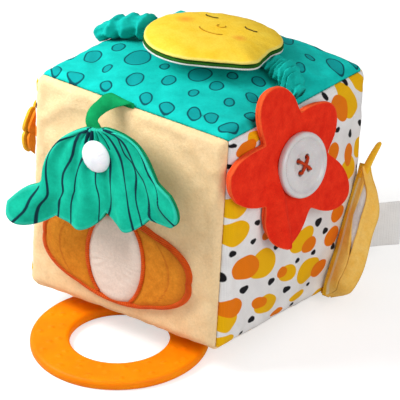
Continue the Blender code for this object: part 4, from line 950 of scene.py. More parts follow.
def makeStalk():
    feltGreen = clothFinish("greenFelt", {  # pressed felt, cut flat: matted fibres, dull
        "light": "#0BA561", "shade": "#068C50", "mottle": 5.0, "grain": 0.8, "grainAndHollowShade": 0.12, "bump": 0.25})
    outer, inner = (smoothRoute([Vector(p) / 1000 for p in stalk[edge]], 6) for edge in ("outer", "inner"))

    def stalkPlace(across, along):
        step = round(along * (len(outer) - 1))
        arch = 0.0007 * (1 - across * across)
        return outer[step].lerp(inner[step], (across + 1) / 2) + Vector((0, -arch, arch / 2))

    bm = gridSheet(10, len(outer) - 1, stalkPlace)
    strip = thicken(finishPiece(bm, "leafStalk", feltGreen, "leaf", ["leaf_stalk"], "stalk_felt"), stalk["thick"], 0.0)
    roundEdges(strip, 0.0003)


makeStalk()

snap = {"drop": 0.0123, "turn": 7.5, "radius": 0.0072, "height": 0.0026, "post": 0.0013}


def makeSnap():
    turn = math.radians(snap["turn"])
    middle = leaf["top"] + Vector((snap["drop"] * math.sin(turn), 0, -snap["drop"] * math.cos(turn)))
    face = leaf["cloth"] / 2 + 0.0003
    inner = leaf["cloth"] / 2 + 0.00048 + leaf["cloth"] + 0.0003
    turns = [math.radians(deg) for deg in range(0, 91, 5)]
    crown = [(snap["radius"] * math.sin(t), face + 0.0006 + (snap["height"] - 0.0006) * math.cos(t)) for t in turns]
    rim = [(snap["radius"] + 0.0001, face + 0.0003), (snap["radius"] - 0.0002, face)]
    bm = turned(crown + rim + [(snap["post"], face), (snap["post"], -inner), (0.0, -inner)], 64)
    for vert in bm.verts:  # faint moulded rays on the dome, as on a pressed cap
        radius = vert.co.xy.length
        if vert.co.z > face + 0.0005 and radius > 0.001:
            ray = math.cos(18 * math.atan2(vert.co.y, vert.co.x))
            vert.co.z += 0.00006 * ray * ease(radius / 0.004)
    capFinish = mouldedFinish("acetalWhite", {  # moulded acetal press-stud cap: white, satin gloss
        "light": "#F1F2F6", "shade": "#E6E8EE", "cloud": 4, "grain": 0.35, "roughness": 0.3, "bump": 0.04,
        "glow": 0.1, "coat": 0.15})
    finishPiece(standOn(bm, (0, -1, 0), middle), "snapCap", capFinish, "leaf", ["snap_cap"], "snap_plastic")


makeSnap()
print("leaf done")


# Felt flower with its button
flower = {
    "y": -0.0088, "z": 0.0800, "felt": 0.0015, "off": 0.00066, "apart": 0.00042,
    "tips": ((-188.0, 0.0460, -0.0010), (-109.0, 0.0376, 0.0022), (-39.0, 0.0412, 0.0016), (37.0, 0.0305, 0.0010),
             (120.0, 0.0445, -0.0010), (172.0, 0.0460, -0.0010)),
    "notches": ((-144.0, 0.0254), (-72.0, 0.0250), (-8.0, 0.0218), (80.0, 0.0218), (147.0, 0.0270), (216.0, 0.0254)),
    "sharp": 1.4, "lift": 0.0014, "tilt": (1.0, -0.10, 0.18), "ridge": -0.0258, "bend": 0.40,
}


def flowerPoint(share, angle, height, size=1.0):
    tips = [(direction, reach) for direction, reach, _ in flower["tips"]]
    outline, tipShare, direction = lobed(math.degrees(angle), tips, flower["notches"], flower["sharp"])
    flare = {tip[0]: tip[2] for tip in flower["tips"]}.get(direction, 0.0) * tipShare
    reach = outline * share * size
    base = facePoint("right", flower["y"], flower["z"] - blockShape["half"]).x
    curl = ease((share - 0.5) / 0.5)
    across, up = reach * math.cos(angle), reach * math.sin(angle)
    soft = 0.0005 * wobble(across / 0.012, up / 0.012) * ease((share - 0.4) / 0.3)
    lean = 0.012 * (-flower["tilt"][1] * math.tanh(across / 0.012) - flower["tilt"][2] * math.tanh(up / 0.012))
    ridge = flower["ridge"] - flower["y"] - 0.15 * up
    low = ease((0.010 - up) / 0.016) * ease((reach - 0.0135) / 0.005)
    fold = low * (0.0030 * math.exp(-((across - ridge) / 0.0032) ** 2) - flower["bend"] * max(ridge - across, 0.0))
    for notch, _ in flower["notches"][2:4]:  # the felt dips from the button towards the notches
        off = math.radians(math.degrees(angle) - notch)
        fold -= 0.0016 * math.exp(-(off / 0.30) ** 2) * ease((reach - 0.012) / 0.012)
    y, z = flower["y"] + across, flower["z"] + up
    least = facePoint("right", max(y, -0.049), z - blockShape["half"]).x + height
    return Vector((max(base + height + flower["lift"] + lean + flare * curl + fold + soft, least), y, z))


def flowerRim(share, angle):
    tips = [(direction, reach) for direction, reach, _ in flower["tips"]]
    return (1 - share) * lobed(math.degrees(angle), tips, flower["notches"], flower["sharp"])[0] * 1000


def feltEdgeHighlight(tree, colour):
    # painted highlight: a lighter red band along the felt's cut edge
    return printAndPaintedLight(tree, colour, "rim", -9, 0.45, "#FF6A34", soft=0.3, strength=0.7)


def makeFlower():
    feltRed = clothFinish("redFelt", {  # needled felt: matted wool fibre, saturated; the cut edge is lighter, a painted highlight
        "light": "#FA381C", "shade": "#E82711", "mottle": 5.0, "grain": 0.8, "grainAndHollowShade": 0.16, "bump": 0.3,
        "relief": 0.5, "sheen": 0.06}, feltEdgeHighlight)
    back = flower["off"]
    front = back + flower["felt"] + flower["apart"]
    for name, node, height, size in (
        ("flowerBack", "flower_back", back, 0.97), ("flowerFront", "flower_front", front, 1.0)):
        bm = roundSheet(28, 260, lambda s, a, h=height, z=size: flowerPoint(s, a, h, z), {"rim": flowerRim})
        sheet = finishPiece(bm, name, feltRed, "block", [node], "red_felt")
        thicken(sheet, flower["felt"], 1.0)
        roundEdges(sheet, 0.00035)
    return front + flower["felt"] + flower["lift"] + 0.0009


button = {"radius": 0.0146, "thick": 0.0034, "rim": 0.0028, "dish": 0.0012, "hole": 0.0015, "pitch": 0.0056,
          "thread": 0.0007}


def arcPoints(across, up, radius, start, end, steps):
    return [
        (across + radius * math.cos(math.radians(start + (end - start) * s / steps)),
         up + radius * math.sin(math.radians(start + (end - start) * s / steps))) for s in range(steps + 1)]


def makeButton(seat):
    base = facePoint("right", flower["y"], flower["z"] - blockShape["half"]).x
    place = Vector((base + seat, flower["y"] - 0.0008, flower["z"] - 0.0004))
    floor = button["thick"] - button["dish"]
    bead = button["rim"] / 2
    dish = button["radius"] - button["rim"]
    low, high = floor + 0.00004, floor + 0.00022
    profile = [(0.0, floor), (0.0058, floor), (0.0062, high), (0.0070, high), (0.0074, low)]
    profile += [(dish - bead * 0.9, low), (dish - bead * 0.3, floor + 0.00012)]
    profile += arcPoints(button["radius"] - bead, button["thick"] - bead, bead, 145.0, 0.0, 12)
    wide = button["radius"]
    profile += [(wide, 0.0006), (wide - 0.0002, 0.0002), (wide - 0.0006, 0.0), (0.0, 0.0)]
    bm = standOn(turned(profile, 96), flower["tilt"], place)
    buttonFinish = mouldedFinish("polyesterButton", {  # cast polyester button: milky, glossy, with a turned dish
        "light": "#D9D4D3", "shade": "#CFC9C9", "cloud": 7, "grain": 0.5, "roughness": 0.26, "bump": 0.03,
        "glow": 0.15, "coat": 0.25})
    disc = finishPiece(bm, "flowerButton", buttonFinish, "block", ["flower_button"], "button_plastic")
    holes = bmesh.new()
    for across in (-1, 1):
        for up in (-1, 1):
            bmesh.ops.create_cone(
                holes, cap_ends=True, segments=28, radius1=button["hole"], radius2=button["hole"],
                depth=4 * button["thick"],
                matrix=Matrix.Translation((across * button["pitch"] / 2, up * button["pitch"] / 2, 0)))
    standOn(holes, flower["tilt"], place)
    holes.transform(toWorld)
    mesh = bpy.data.meshes.new("holes")
    holes.to_mesh(mesh)
    holes.free()
    cutter = bpy.data.objects.new("holes", mesh)
    scene.collection.objects.link(cutter)
    applyCut(disc, cutter)
    disc.data.shade_smooth()
    roundEdges(disc, 0.00018).angle_limit = math.radians(40)
    threadFinish = clothFinish("polyesterThread", {  # thick sewing thread: twisted, slight shine
        "light": "#DE4A1C", "shade": "#B8300C", "mottle": 1.5, "grain": 0.5, "grainAndHollowShade": 0.3, "bump": 0.2,
        "roughness": 0.5})
    reach = button["pitch"] / 2
    rise = floor + button["thread"] + 0.00035
    strands = bmesh.new()
    for corner in (-1, 1):
        high = rise + (0.0004 if corner > 0 else -0.0001)
        leg = [(reach, 0.0006), (reach, floor - 0.0002), (reach - 0.0003, high - 0.0002), (reach * 0.5, high)]
        points = [(-along, -along * corner, height) for along, height in leg]
        points += [(along, along * corner, height) for along, height in leg[::-1]]
        route = smoothRoute(points, 4)
        side = Vector((-corner, 1, 0)).normalized()

        def strandPlace(angle, along, route=route, side=side):
            step, ahead = wayAlong(route, along)
            twist = button["thread"] * (1 + 0.14 * math.cos(2 * angle + step * 0.8))
            return route[step] + (side * math.cos(angle) + ahead.cross(side) * math.sin(angle)) * twist

        part = tube(12, len(route) - 1, strandPlace)
        mesh = bpy.data.meshes.new("strand")
        part.to_mesh(mesh)
        part.free()
        strands.from_mesh(mesh)
        bpy.data.meshes.remove(mesh)
    standOn(strands, flower["tilt"], place)
    finishPiece(strands, "buttonThread", threadFinish, "block", ["button_thread"], "satin_stitch")


makeButton(makeFlower())
print("flower done")


# Strap and sun disc
strap = {
    "y": 0.002, "width": 0.0135, "flat": 0.0055, "full": 0.0092, "end": 0.0078, "bend": 0.0095, "rest": 0.0006,
    "fold": 0.0021, "leftTurn": 36.0, "rightTurn": 22.0,
}
sun = {
    "x": 0.0025, "y": 0.0035, "radius": 0.0304, "slope": 0.08, "thick": 0.0022, "puff": 0.0030,
    "outline": (  # direction in degrees and reach in mm
        (-19, 29.6), (0, 26.2), (20, 25.4), (36, 29.0), (55, 31.0), (90, 32.0), (120, 32.0), (145, 32.0), (166, 32.0),
        (187, 31.0), (212, 31.0), (240, 32.0), (262, 31.5), (278, 29.8), (291, 27.6), (305, 26.7), (320, 27.0),
        (341, 29.6), (360, 26.2), (380, 25.4)),
    "backing": 0.0008, "trim": 0.0007,
}
strap["armStart"] = sun["radius"] - 0.0039
strap["heights"] = (
    (0.0, strap["flat"]), (sun["radius"], strap["flat"]), (sun["radius"] + 0.0071, strap["full"]),
    (sun["radius"] + 0.0316, strap["end"]))


def strapLine(along):
    # the strap crosses the top on a slight diagonal
    near, far = (0.012, 0.0015) if along > 0 else (0.005, -0.006)
    first, second = ease(abs(along) / 0.024), ease((abs(along) - 0.0245) / 0.026)
    return strap["y"] + (near - strap["y"]) * first + (far - near) * second


def strapFrame(along):
    flat = blockShape["half"] - blockShape["round"]
    side = math.copysign(1, along)
    bend = max(abs(along) - flat, 0.0) / strap["bend"]
    outward = Vector((side * math.sin(bend), 0, math.cos(bend)))
    if bend:
        corner = Vector((side * flat, strapLine(along), 2 * blockShape["half"] - blockShape["round"]))
        rest = strap["rest"] * abs(1 - math.degrees(bend) / 45.0)
        base = settled(corner + outward * (blockShape["round"] + rest))
    else:
        base = facePoint("top", along, strapLine(along))
    height = strap["heights"][-1][1]
    away = abs(along - sun["x"])
    for (first, low), (second, high) in zip(strap["heights"], strap["heights"][1:]):
        if first <= away <= second:
            height = low + (high - low) * ease((away - first) / (second - first))
            break
    return base, outward, height


def strapArm(name, node, start, end, rings, pitch=None, swell=1.0):
    def place(angle, share):
        along = start + (end - start) * share
        base, outward, height = strapFrame(along)
        fold = 0.0
        if pitch:
            drift = 1.6 * wobble(along * 130, 3.1) + 0.9 * math.sin(angle + 0.6)
            drift += 2.2 * wobble(math.cos(angle) * 1.3, math.sin(angle) * 1.3, along * 120)
            puffs = 0.5 + 0.5 * math.cos(math.tau * along / pitch + drift)
            small = 0.55 * wobble(math.cos(angle) * 2.2, math.sin(angle) * 2.2, along * 330)
            fold = strap["fold"] * (puffs - 1 + small)
        outer = share if along > 0 else 1 - share
        full = swell * (1 + 0.12 * math.sin(math.pi * outer) - 0.22 * ease((outer - 0.8) / 0.2))
        wide = strap["width"] / 2 * full + fold
        tall = height / 2 * full + fold * 0.75
        rise = 0.0003 + height / 2 * full + tall * math.sin(angle)
        return base + outward * max(rise, 0.0003) + Vector((0, wide * math.cos(angle), 0))

    bm = tube(64, rings, place)
    finish = strapFinish
    if pitch:
        outer = toWorld @ Vector((math.copysign(0.044, start), strap["y"], 0.11))
        inner = toWorld @ Vector((math.copysign(0.029, start), strap["y"], 0.11))
        piece = finishPiece(bm, name, finish, "block", [node], "teal_strap", ends=("sun", outer, inner))
    else:
        piece = finishPiece(bm, name, finish, "sun", [node], "teal_strap")


strapFinish = clothFinish("tealPlushGathered", {  # thin teal plush drawn up on elastic: nap catches light on the puffs
    "light": "#14C6B9", "shade": "#08A89D", "mottle": 6.0, "grain": 0.8, "grainAndHollowShade": 0.12, "bump": 0.3, "sheen": 0.12})


def makeStrap():
    flat = blockShape["half"] - blockShape["round"]
    leftEnd = flat + strap["bend"] * math.radians(strap["leftTurn"])
    rightEnd = flat + strap["bend"] * math.radians(strap["rightTurn"])
    strapArm("strapMiddle", "strap_middle", -strap["armStart"] + 0.0003, strap["armStart"] - 0.0003, 30)
    strapArm("strapLeft", "strap_left", -leftEnd, -strap["armStart"], 280, 0.0056, 1.12)
    strapArm("strapRight", "strap_right", strap["armStart"], rightEnd, 240, 0.0036, 1.0)


makeStrap()


sunOutline = curveOf(sun["outline"])


def sunReach(angle):
    return sunOutline(math.degrees(angle) % 360) / 1000


def sunPoint(share, angle, height):
    reach = sunReach(angle) * share
    rise = height - sun["slope"] * reach * math.sin(angle)
    return Vector((sun["x"] + reach * math.cos(angle), sun["y"] + reach * math.sin(angle), rise))


def sunLevels():
    trim = facePoint("top", 0.0, strap["y"]).z + strap["flat"] + 0.0001
    backing = trim + 0.0006 + 0.0003
    return trim, backing, backing + 0.0007 + 0.0003


def sunTop(share, angle):
    # height of the padded front over its underside
    pucker = 0.0004 * wobble(math.cos(angle) * 7, math.sin(angle) * 7, share * 2) * ease((share - 0.6) / 0.4)
    dents = 0.00035 * wobble(share * math.cos(angle) * 2.4, share * math.sin(angle) * 2.4, 4.0)
    return sun["thick"] + sun["puff"] * (1 - share ** 4) + pucker + dents


def sunPrintAndRimHighlight(tree, colour):
    colour = printAndPaintedLight(tree, colour, "blush", -9, 2.4, "#F59C30", soft=2.6, strength=0.9)
    # painted highlight: a pale yellow band along the pad's rim
    return printAndPaintedLight(tree, colour, "rim", -9, 0.7, "#F6E27A", soft=0.5, strength=0.8)


def blushField(share, angle):
    x, y = share * 30.4 * math.cos(angle), share * 30.4 * math.sin(angle)
    return min(math.hypot(x - side * 15.5 + 2, y - 2.5) for side in (-1, 1))


def makeSun():
    trimZ, backingZ, frontZ = sunLevels()
    for name, node, height, thick, size, finish, slot in (
        ("sunTrim", "sun_trim", trimZ, sun["trim"], 1.004, clothFinish("whiteCottonTrim", {
            "light": "#F2F0EC", "shade": "#E0DDD8", "mottle": 9, "grain": 0.8, "grainAndHollowShade": 0.1, "bump": 0.15,
            "thread": 0.9}), "white_cloth"),
        ("sunBacking", "sun_backing", backingZ, sun["backing"], 1.006, clothFinish("greenCottonBacking", {
            "light": "#2C6A1C", "shade": "#1D5214", "mottle": 8, "grain": 0.8, "grainAndHollowShade": 0.15, "bump": 0.2,
            "thread": 0.9}), "green_cloth"),
    ):
        bm = roundSheet(10, 144, lambda s, a, h=height, z=size: sunPoint(s * z, a, h))
        sheet = thicken(finishPiece(bm, name, finish, "sun", [node], slot), thick, 1.0)
    sunFinish = clothFinish("yellowPlushShortPile", {  # yellow short-pile plush: soft nap; the rim is slightly lighter, a painted highlight
        "light": "#FFD948", "shade": "#FACB30", "mottle": 8.0, "grain": 1.0, "grainAndHollowShade": 0.10, "bump": 0.4,
        "sheen": 0.05}, sunPrintAndRimHighlight)

    def padPlace(angle, along):
        # the section runs from the middle of the top, over the rim, to the middle of the underside
        turn = along * math.pi
        share = math.sqrt(math.sin(turn)) if 0 < along < 1 else 0.0
        over = math.copysign(math.sqrt(abs(math.cos(turn))), math.cos(turn))
        tall = sunTop(share, angle)
        return sunPoint(share * 0.995, angle, frontZ + tall * (over + 1) / 2)

    share = lambda along: math.sqrt(math.sin(along * math.pi)) if 0 < along < 1 else 0.0
    bm = tube(160, 90, padPlace, {
        "blush": lambda a, t: blushField(share(t), a) if t < 0.5 else 9.0,
        "rim": lambda a, t: (1 - share(t)) * 30.4 + (0 if t < 0.55 else 2)})
    front = finishPiece(bm, "sunFront", sunFinish, "sun", ["sun_front"], "sun_cotton")
    faceThread = clothFinish("oliveThread", {  # embroidery thread, dark olive for the closed lids
        "light": "#6B5620", "shade": "#54431A", "mottle": 2, "grain": 0.4, "grainAndHollowShade": 0.2, "bump": 0.1})
    smileThread = clothFinish("amberThread", {  # embroidery thread, amber for nose and smile
        "light": "#D09614", "shade": "#B67F0C", "mottle": 2, "grain": 0.4, "grainAndHollowShade": 0.2, "bump": 0.1})

    def onSun(x, y):
        reach, angle = math.hypot(x, y), math.atan2(y, x)
        share = reach / (sunReach(angle) * 1000)
        return sunPoint(share, angle, frontZ + sunTop(share, angle) + 0.00005)

    def arcOnSun(across, up, wide, tall, degrees):
        # an arc that hangs down, in mm from the face's middle
        turns = [math.radians(d) for d in degrees]
        return [onSun(-2 + across + wide * math.cos(t), up - tall * math.sin(t)) for t in turns]

    for side, name in ((-1, "lidLeft"), (1, "lidRight")):
        threadLine(arcOnSun(side * 10.5, 15.0, 3.2, 1.7, range(0, 181, 30)), 0.00034, name, faceThread)
    threadLine(arcOnSun(0.0, 7.0, 1.9, 1.9, range(-60, 211, 30)), 0.00028, "noseArc", smileThread)
    threadLine(arcOnSun(0.0, 0.5, 6.5, 4.0, range(15, 166, 25)), 0.00032, "smileArc", smileThread)


makeSun()
print("strap and sun done")


# Small flower on the left side
daisy = {"y": -0.032, "z": 0.0675, "radius": 0.0145, "petals": 6, "notch": 0.20, "flare": 0.0030, "cloth": 0.0012,
         "off": 0.00075, "apart": 0.0026}


def daisyPoint(share, angle, height, size):
    petals = abs(math.sin(daisy["petals"] / 2 * angle)) ** 0.6
    reach = daisy["radius"] * (1 - daisy["notch"] * (1 - petals)) * share * size
    base = facePoint("left", -daisy["y"], daisy["z"] - blockShape["half"]).x
    curl = ease((share - 0.25) / 0.75)
    wave = 0.0005 * math.cos(daisy["petals"] * angle) * curl
    return Vector((
        base - height - daisy["flare"] * curl - wave, daisy["y"] - reach * math.cos(angle),
        daisy["z"] + reach * math.sin(angle)))


def makeDaisy():
    feltYellow = clothFinish("yellowFelt", {  # pressed felt, cut petals
        "light": "#F8C33A", "shade": "#EBAE24", "mottle": 4, "grain": 0.8, "grainAndHollowShade": 0.12, "bump": 0.25})
    feltOrange = clothFinish("orangeFelt", {  # pressed felt, orange
        "light": "#EE8C22", "shade": "#DB7414", "mottle": 4, "grain": 0.8, "grainAndHollowShade": 0.12, "bump": 0.25})
    front = daisy["off"] + daisy["apart"]
    for name, node, height, size, finish, slot in (
        ("daisyBack", "daisy_back", daisy["off"], 0.96, feltOrange, "orange_felt"),
        ("daisyFront", "daisy_front", front, 1.0, feltYellow, "sun_cotton"),
    ):
        bm = roundSheet(12, 144, lambda s, a, h=height, z=size: daisyPoint(s, a, h, z))
        sheet = thicken(finishPiece(bm, name, finish, "block", [node], slot), daisy["cloth"], 1.0)
        roundEdges(sheet, 0.0003)
    base = facePoint("left", -daisy["y"], daisy["z"] - blockShape["half"]).x
    turns = [math.radians(deg) for deg in range(0, 91, 6)]
    dome = [(0.0045 * math.sin(t), 0.0003 + 0.0030 * math.cos(t)) for t in turns]
    bm = turned(dome + [(0.0042, 0.0), (0.0, 0.0)], 48)
    for vert in bm.verts:
        vert.co *= 1 + 0.03 * wobble(*(vert.co * 900))
    standOn(bm, (-1, 0, 0), (base - front - daisy["cloth"] - 0.0009, daisy["y"], daisy["z"]))
    middle = finishPiece(bm, "daisyCentre", feltOrange, "block", ["daisy_centre"], "orange_felt")
    return feltOrange


orangeFelt = makeDaisy()


# Banana with two peel flaps
banana = {"footY": 0.024, "footZ": 0.0048, "length": 0.0585, "lean": 23.5, "peel": 0.0013}
bananaWide = curveOf((
    (-0.03, 0.0040), (0.0, 0.0075), (0.03, 0.0112), (0.08, 0.0142), (0.25, 0.0160), (0.5, 0.0152), (0.68, 0.0156),
    (0.82, 0.0120), (0.92, 0.0074), (1.0, 0.0042), (1.03, 0.0036)))
slitPlace = curveOf(((-0.03, 0.62), (0.3, 0.66), (0.48, 0.62), (0.66, 0.56), (0.84, 0.72), (0.9, 0.78), (1.03, 0.80)))
slitHalf = curveOf((
    (-0.03, 0.0001), (0.30, 0.0001), (0.36, 0.0004), (0.48, 0.0012), (0.58, 0.0019), (0.66, 0.0021), (0.76, 0.0018),
    (0.84, 0.0011), (0.89, 0.0002), (1.03, 0.0001)))
bananaLean = math.radians(banana["lean"])
bananaHinge = blockShape["half"] + blockShape["sideCrown"] + 0.0004
bananaAlong = Vector((0, math.sin(bananaLean), math.cos(bananaLean)))
bananaFacing = Vector((0, -math.cos(bananaLean), math.sin(bananaLean)))


def bananaLine(share):
    return Vector((0, banana["footY"], banana["footZ"])) + bananaAlong * banana["length"] * share


def sideX(spot):
    flat = blockShape["half"] - blockShape["round"]
    y, z = min(spot.y, flat), max(spot.z, blockShape["round"])
    x = facePoint("right", y, z - blockShape["half"]).x
    beyond = math.hypot(spot.y - y, spot.z - z)
    return x - blockShape["round"] + math.sqrt(max(blockShape["round"] ** 2 - beyond ** 2, 0.0))


def bananaPoint(across, share, rise):
    # across runs from 0 at the block's side to 1 at the free edge
    spot = bananaLine(share)
    spot.x = sideX(spot) + 0.0007 + bananaWide(share) * across
    return spot + bananaFacing * rise


def flapPoint(side, reach, share):
    gap = slitHalf(share) / bananaWide(share)
    edge = slitPlace(share) - gap if side == "inner" else slitPlace(share) + gap
    across = edge * reach if side == "inner" else 1 + (edge - 1) * reach
    round_ = 0.0052 * (1 - abs(2 * across - 1) ** (5.0 if across < 0.5 else 2.6)) ** 0.8
    lip = 0.0007 * ease((reach - 0.75) / 0.25) * ease(slitHalf(share) / 0.001)
    wave = 0.0003 * wobble(share * 7, reach * 2, 5.0)
    rise = round_ * ease((share + 0.02) / 0.16) + lip + wave
    out = max(bananaPoint(across, share, 0).x, bananaHinge + 0.003 * across)
    if side == "inner":  # low near the line on which it opens, so that it clears the block when it is turned back
        clear = 0.0009 + 0.54 * max(out - bananaHinge - 0.0002, 0.0)
        rise = -math.log(math.exp(-rise * 2500) + math.exp(-clear * 2500)) / 2500
    spot = bananaPoint(across, share, rise)
    spot.x = out
    return spot


def peelPrint(tree, colour):
    colour = printAndPaintedLight(tree, colour, "band", -9, 3.3, "#F5BC2C", soft=0.25)
    return printAndPaintedLight(tree, colour, "band", 3.3, 4.9, "#F6DFAE", soft=0.25)


def makeBanana():
    yellowPlush = clothFinish("bananaPlush", {  # yellow plush outside of the peel
        "light": "#FFCB3C", "shade": "#F9B92A", "mottle": 5, "grain": 0.9, "grainAndHollowShade": 0.12, "bump": 0.35, "sheen": 0.1})
    creamPlush = clothFinish("creamPlushLining", {  # cream plush inside of the peel, piped at its yellow edge
        "light": "#FFD070", "shade": "#FABF50", "mottle": 5, "grain": 0.9, "grainAndHollowShade": 0.12, "bump": 0.35, "sheen": 0.1},
        peelPrint)
    fleshCloth = clothFinish("whitePlushFlesh", {  # white plush pad
        "light": "#F4F3F1", "shade": "#E6E4E2", "mottle": 5, "grain": 0.9, "grainAndHollowShade": 0.10, "bump": 0.35, "sheen": 0.1})
    bm = gridSheet(26, 70, lambda c, a: bananaPoint(
        (c + 1) / 2 * 0.96, 1.02 * a - 0.02, -0.0008 - 0.0034 * (1 - c * c)))
    back = thicken(
        finishPiece(bm, "bananaBack", yellowPlush, "block", ["banana_back"], "banana_plush"), banana["peel"], 0.0)
    for side, body in (("inner", "inner_flap"), ("outer", "outer_flap")):
        shareOf = lambda a: 1.02 * a - 0.03
        bm = gridSheet(18, 80, lambda c, a, s=side: flapPoint(s, (c + 1) / 2, shareOf(a)), {
            "band": lambda c, a, s=side: (
                (c + 1) / 2 * slitPlace(shareOf(a)) * bananaWide(shareOf(a)) * 1000 if s == "inner" else 9.0)})
        name = "bananaFlap" + side.capitalize()
        flap = finishPiece(bm, name, creamPlush, body, ["banana_flap_" + side], "banana_lining")
        thicken(flap, banana["peel"], 0.0)
    bm = bmesh.new()
    bmesh.ops.create_uvsphere(bm, u_segments=48, v_segments=32, radius=1.0)
    for vert in bm.verts:
        u, v, w = vert.co
        share = 0.60 + 0.28 * w
        puff = 0.0024 * (1 + 0.10 * wobble(u * 2, w * 4))
        across = slitPlace(share) + 0.0036 * u / bananaWide(share)
        vert.co = bananaPoint(across, share, 0.0029 + puff * v)
    bmesh.ops.recalc_face_normals(bm, faces=bm.faces)
    finishPiece(bm, "bananaFlesh", fleshCloth, "block", ["banana_flesh"], "white_cloth")
    start = bananaPoint(0.55, 0.90, 0.0022)

    def stalkPlace(angle, share):
        taper = (1 - 0.35 * share) * math.sqrt(max(1 - max(2 * share - 1, 0.0) ** 10, 0.02))
        wide = math.copysign(abs(math.cos(angle)) ** 0.7, math.cos(angle)) * 0.0019 * taper
        deep = math.copysign(abs(math.sin(angle)) ** 0.8, math.sin(angle)) * 0.0012 * taper
        lean = 0.0034 * share ** 1.6
        return start + bananaAlong * 0.0178 * share + Vector((lean + wide, 0, 0)) + bananaFacing * deep

    bm = tube(24, 40, stalkPlace)
    finishPiece(bm, "bananaStalk", yellowPlush, "block", ["banana_stalk"], "banana_plush")


makeBanana()
print("banana and daisy done")


# Tapes sewn into the seams
tapes = {"labelHeight": 0.021, "labelReach": 0.025, "labelThick": 0.0008, "labelLow": 0.0145, "labelTurn": 57.0}


def makeTapes():
    flat = blockShape["half"] - blockShape["round"]
    turn = math.radians(tapes["labelTurn"])
    seam = flat + (blockShape["round"] + 0.0006) * math.sqrt(0.5)
    out = Vector((math.cos(turn), math.sin(turn), 0))
    side = Vector((-out.y, out.x, 0))
    labelFinish = clothFinish("wovenLabelTape", {  # woven polyester tape: fine ribs, slight shine, bare
        "light": "#F6F6F6", "shade": "#ECECEC", "mottle": 8, "grain": 0.6, "grainAndHollowShade": 0.08, "bump": 0.1, "thread": 0.8,
        "roughness": 0.6})

    def labelPlace(angle, share):
        # a folded tape: two layers, a little open at the fold
        deep = math.copysign(abs(math.sin(angle)) ** 0.6, math.sin(angle)) * tapes["labelThick"] / 2
        deep *= 1 + 0.5 * ease((share - 0.6) / 0.3)
        tall = math.copysign(abs(math.cos(angle)) ** 0.25, math.cos(angle)) * tapes["labelHeight"] / 2
        bow = 0.0006 * math.sin(math.pi * share)
        middle = Vector((seam, seam, tapes["labelLow"] + tapes["labelHeight"] / 2))
        middle += out * (tapes["labelReach"] - 0.0034) * share
        return middle + side * (deep + bow) + Vector((0, 0, tall))

    bm = tube(28, 40, labelPlace)
    label = finishPiece(bm, "sideLabel", labelFinish, "block", ["side_label"], "white_cloth")

    def tagPlace(angle, share):
        deep = math.copysign(abs(math.cos(angle)) ** 0.5, math.cos(angle)) * 0.0009
        tall = math.copysign(abs(math.sin(angle)) ** 0.4, math.sin(angle)) * 0.003
        x = -blockShape["half"] - 0.00015 - 0.0009 - 0.006 * share
        return settled(Vector((-blockShape["half"], 0.036, 0.0985))) + Vector((
            x + blockShape["half"], tall, deep * (1 - 0.3 * share)))

    bm = tube(20, 16, tagPlace)
    finishPiece(bm, "cornerTag", orangeFelt, "block", ["corner_tag"], "orange_felt")


makeTapes()


# Teether ring with its tape
ring = {
    "midline": 0.0305, "half": 0.00865, "thick": 0.0023, "round": 0.0018, "tilt": 1.1, "hingeToMiddle": 0.0404,
    "loopCloth": 0.0004, "loopWidth": 0.009, "easeRound": 0.00015, "easeLong": 0.00055,
    "nubs": 46,
}
hinge = Vector(next(j for j in record["behaviour"]["joints"] if j["name"] == "ring_swing")["pos_m"])
ringPlace = Matrix.Translation(hinge) @ Matrix.Rotation(math.radians(ring["tilt"]), 4, "X")


def bandSection(halfWide, halfTall, corner, steps):
    points = []
    for quarter, (across, up) in enumerate(((1, 1), (-1, 1), (-1, -1), (1, -1))):
        points += arcPoints(
            across * (halfWide - corner), up * (halfTall - corner), corner, 90.0 * quarter, 90.0 * quarter + 90, steps)
    return points


def evenLoop(points, count):
    # spreads points evenly round a closed outline
    loop = [Vector((*p, 0)) for p in points]
    loop.append(loop[0])
    lengths = [0.0]
    for first, second in zip(loop, loop[1:]):
        lengths.append(lengths[-1] + (second - first).length)
    spread, at = [], 0
    for number in range(count):
        goal = lengths[-1] * number / count
        while lengths[at + 1] < goal:
            at += 1
        share = (goal - lengths[at]) / max(lengths[at + 1] - lengths[at], 1e-9)
        spread.append(loop[at].lerp(loop[at + 1], share))
    return spread


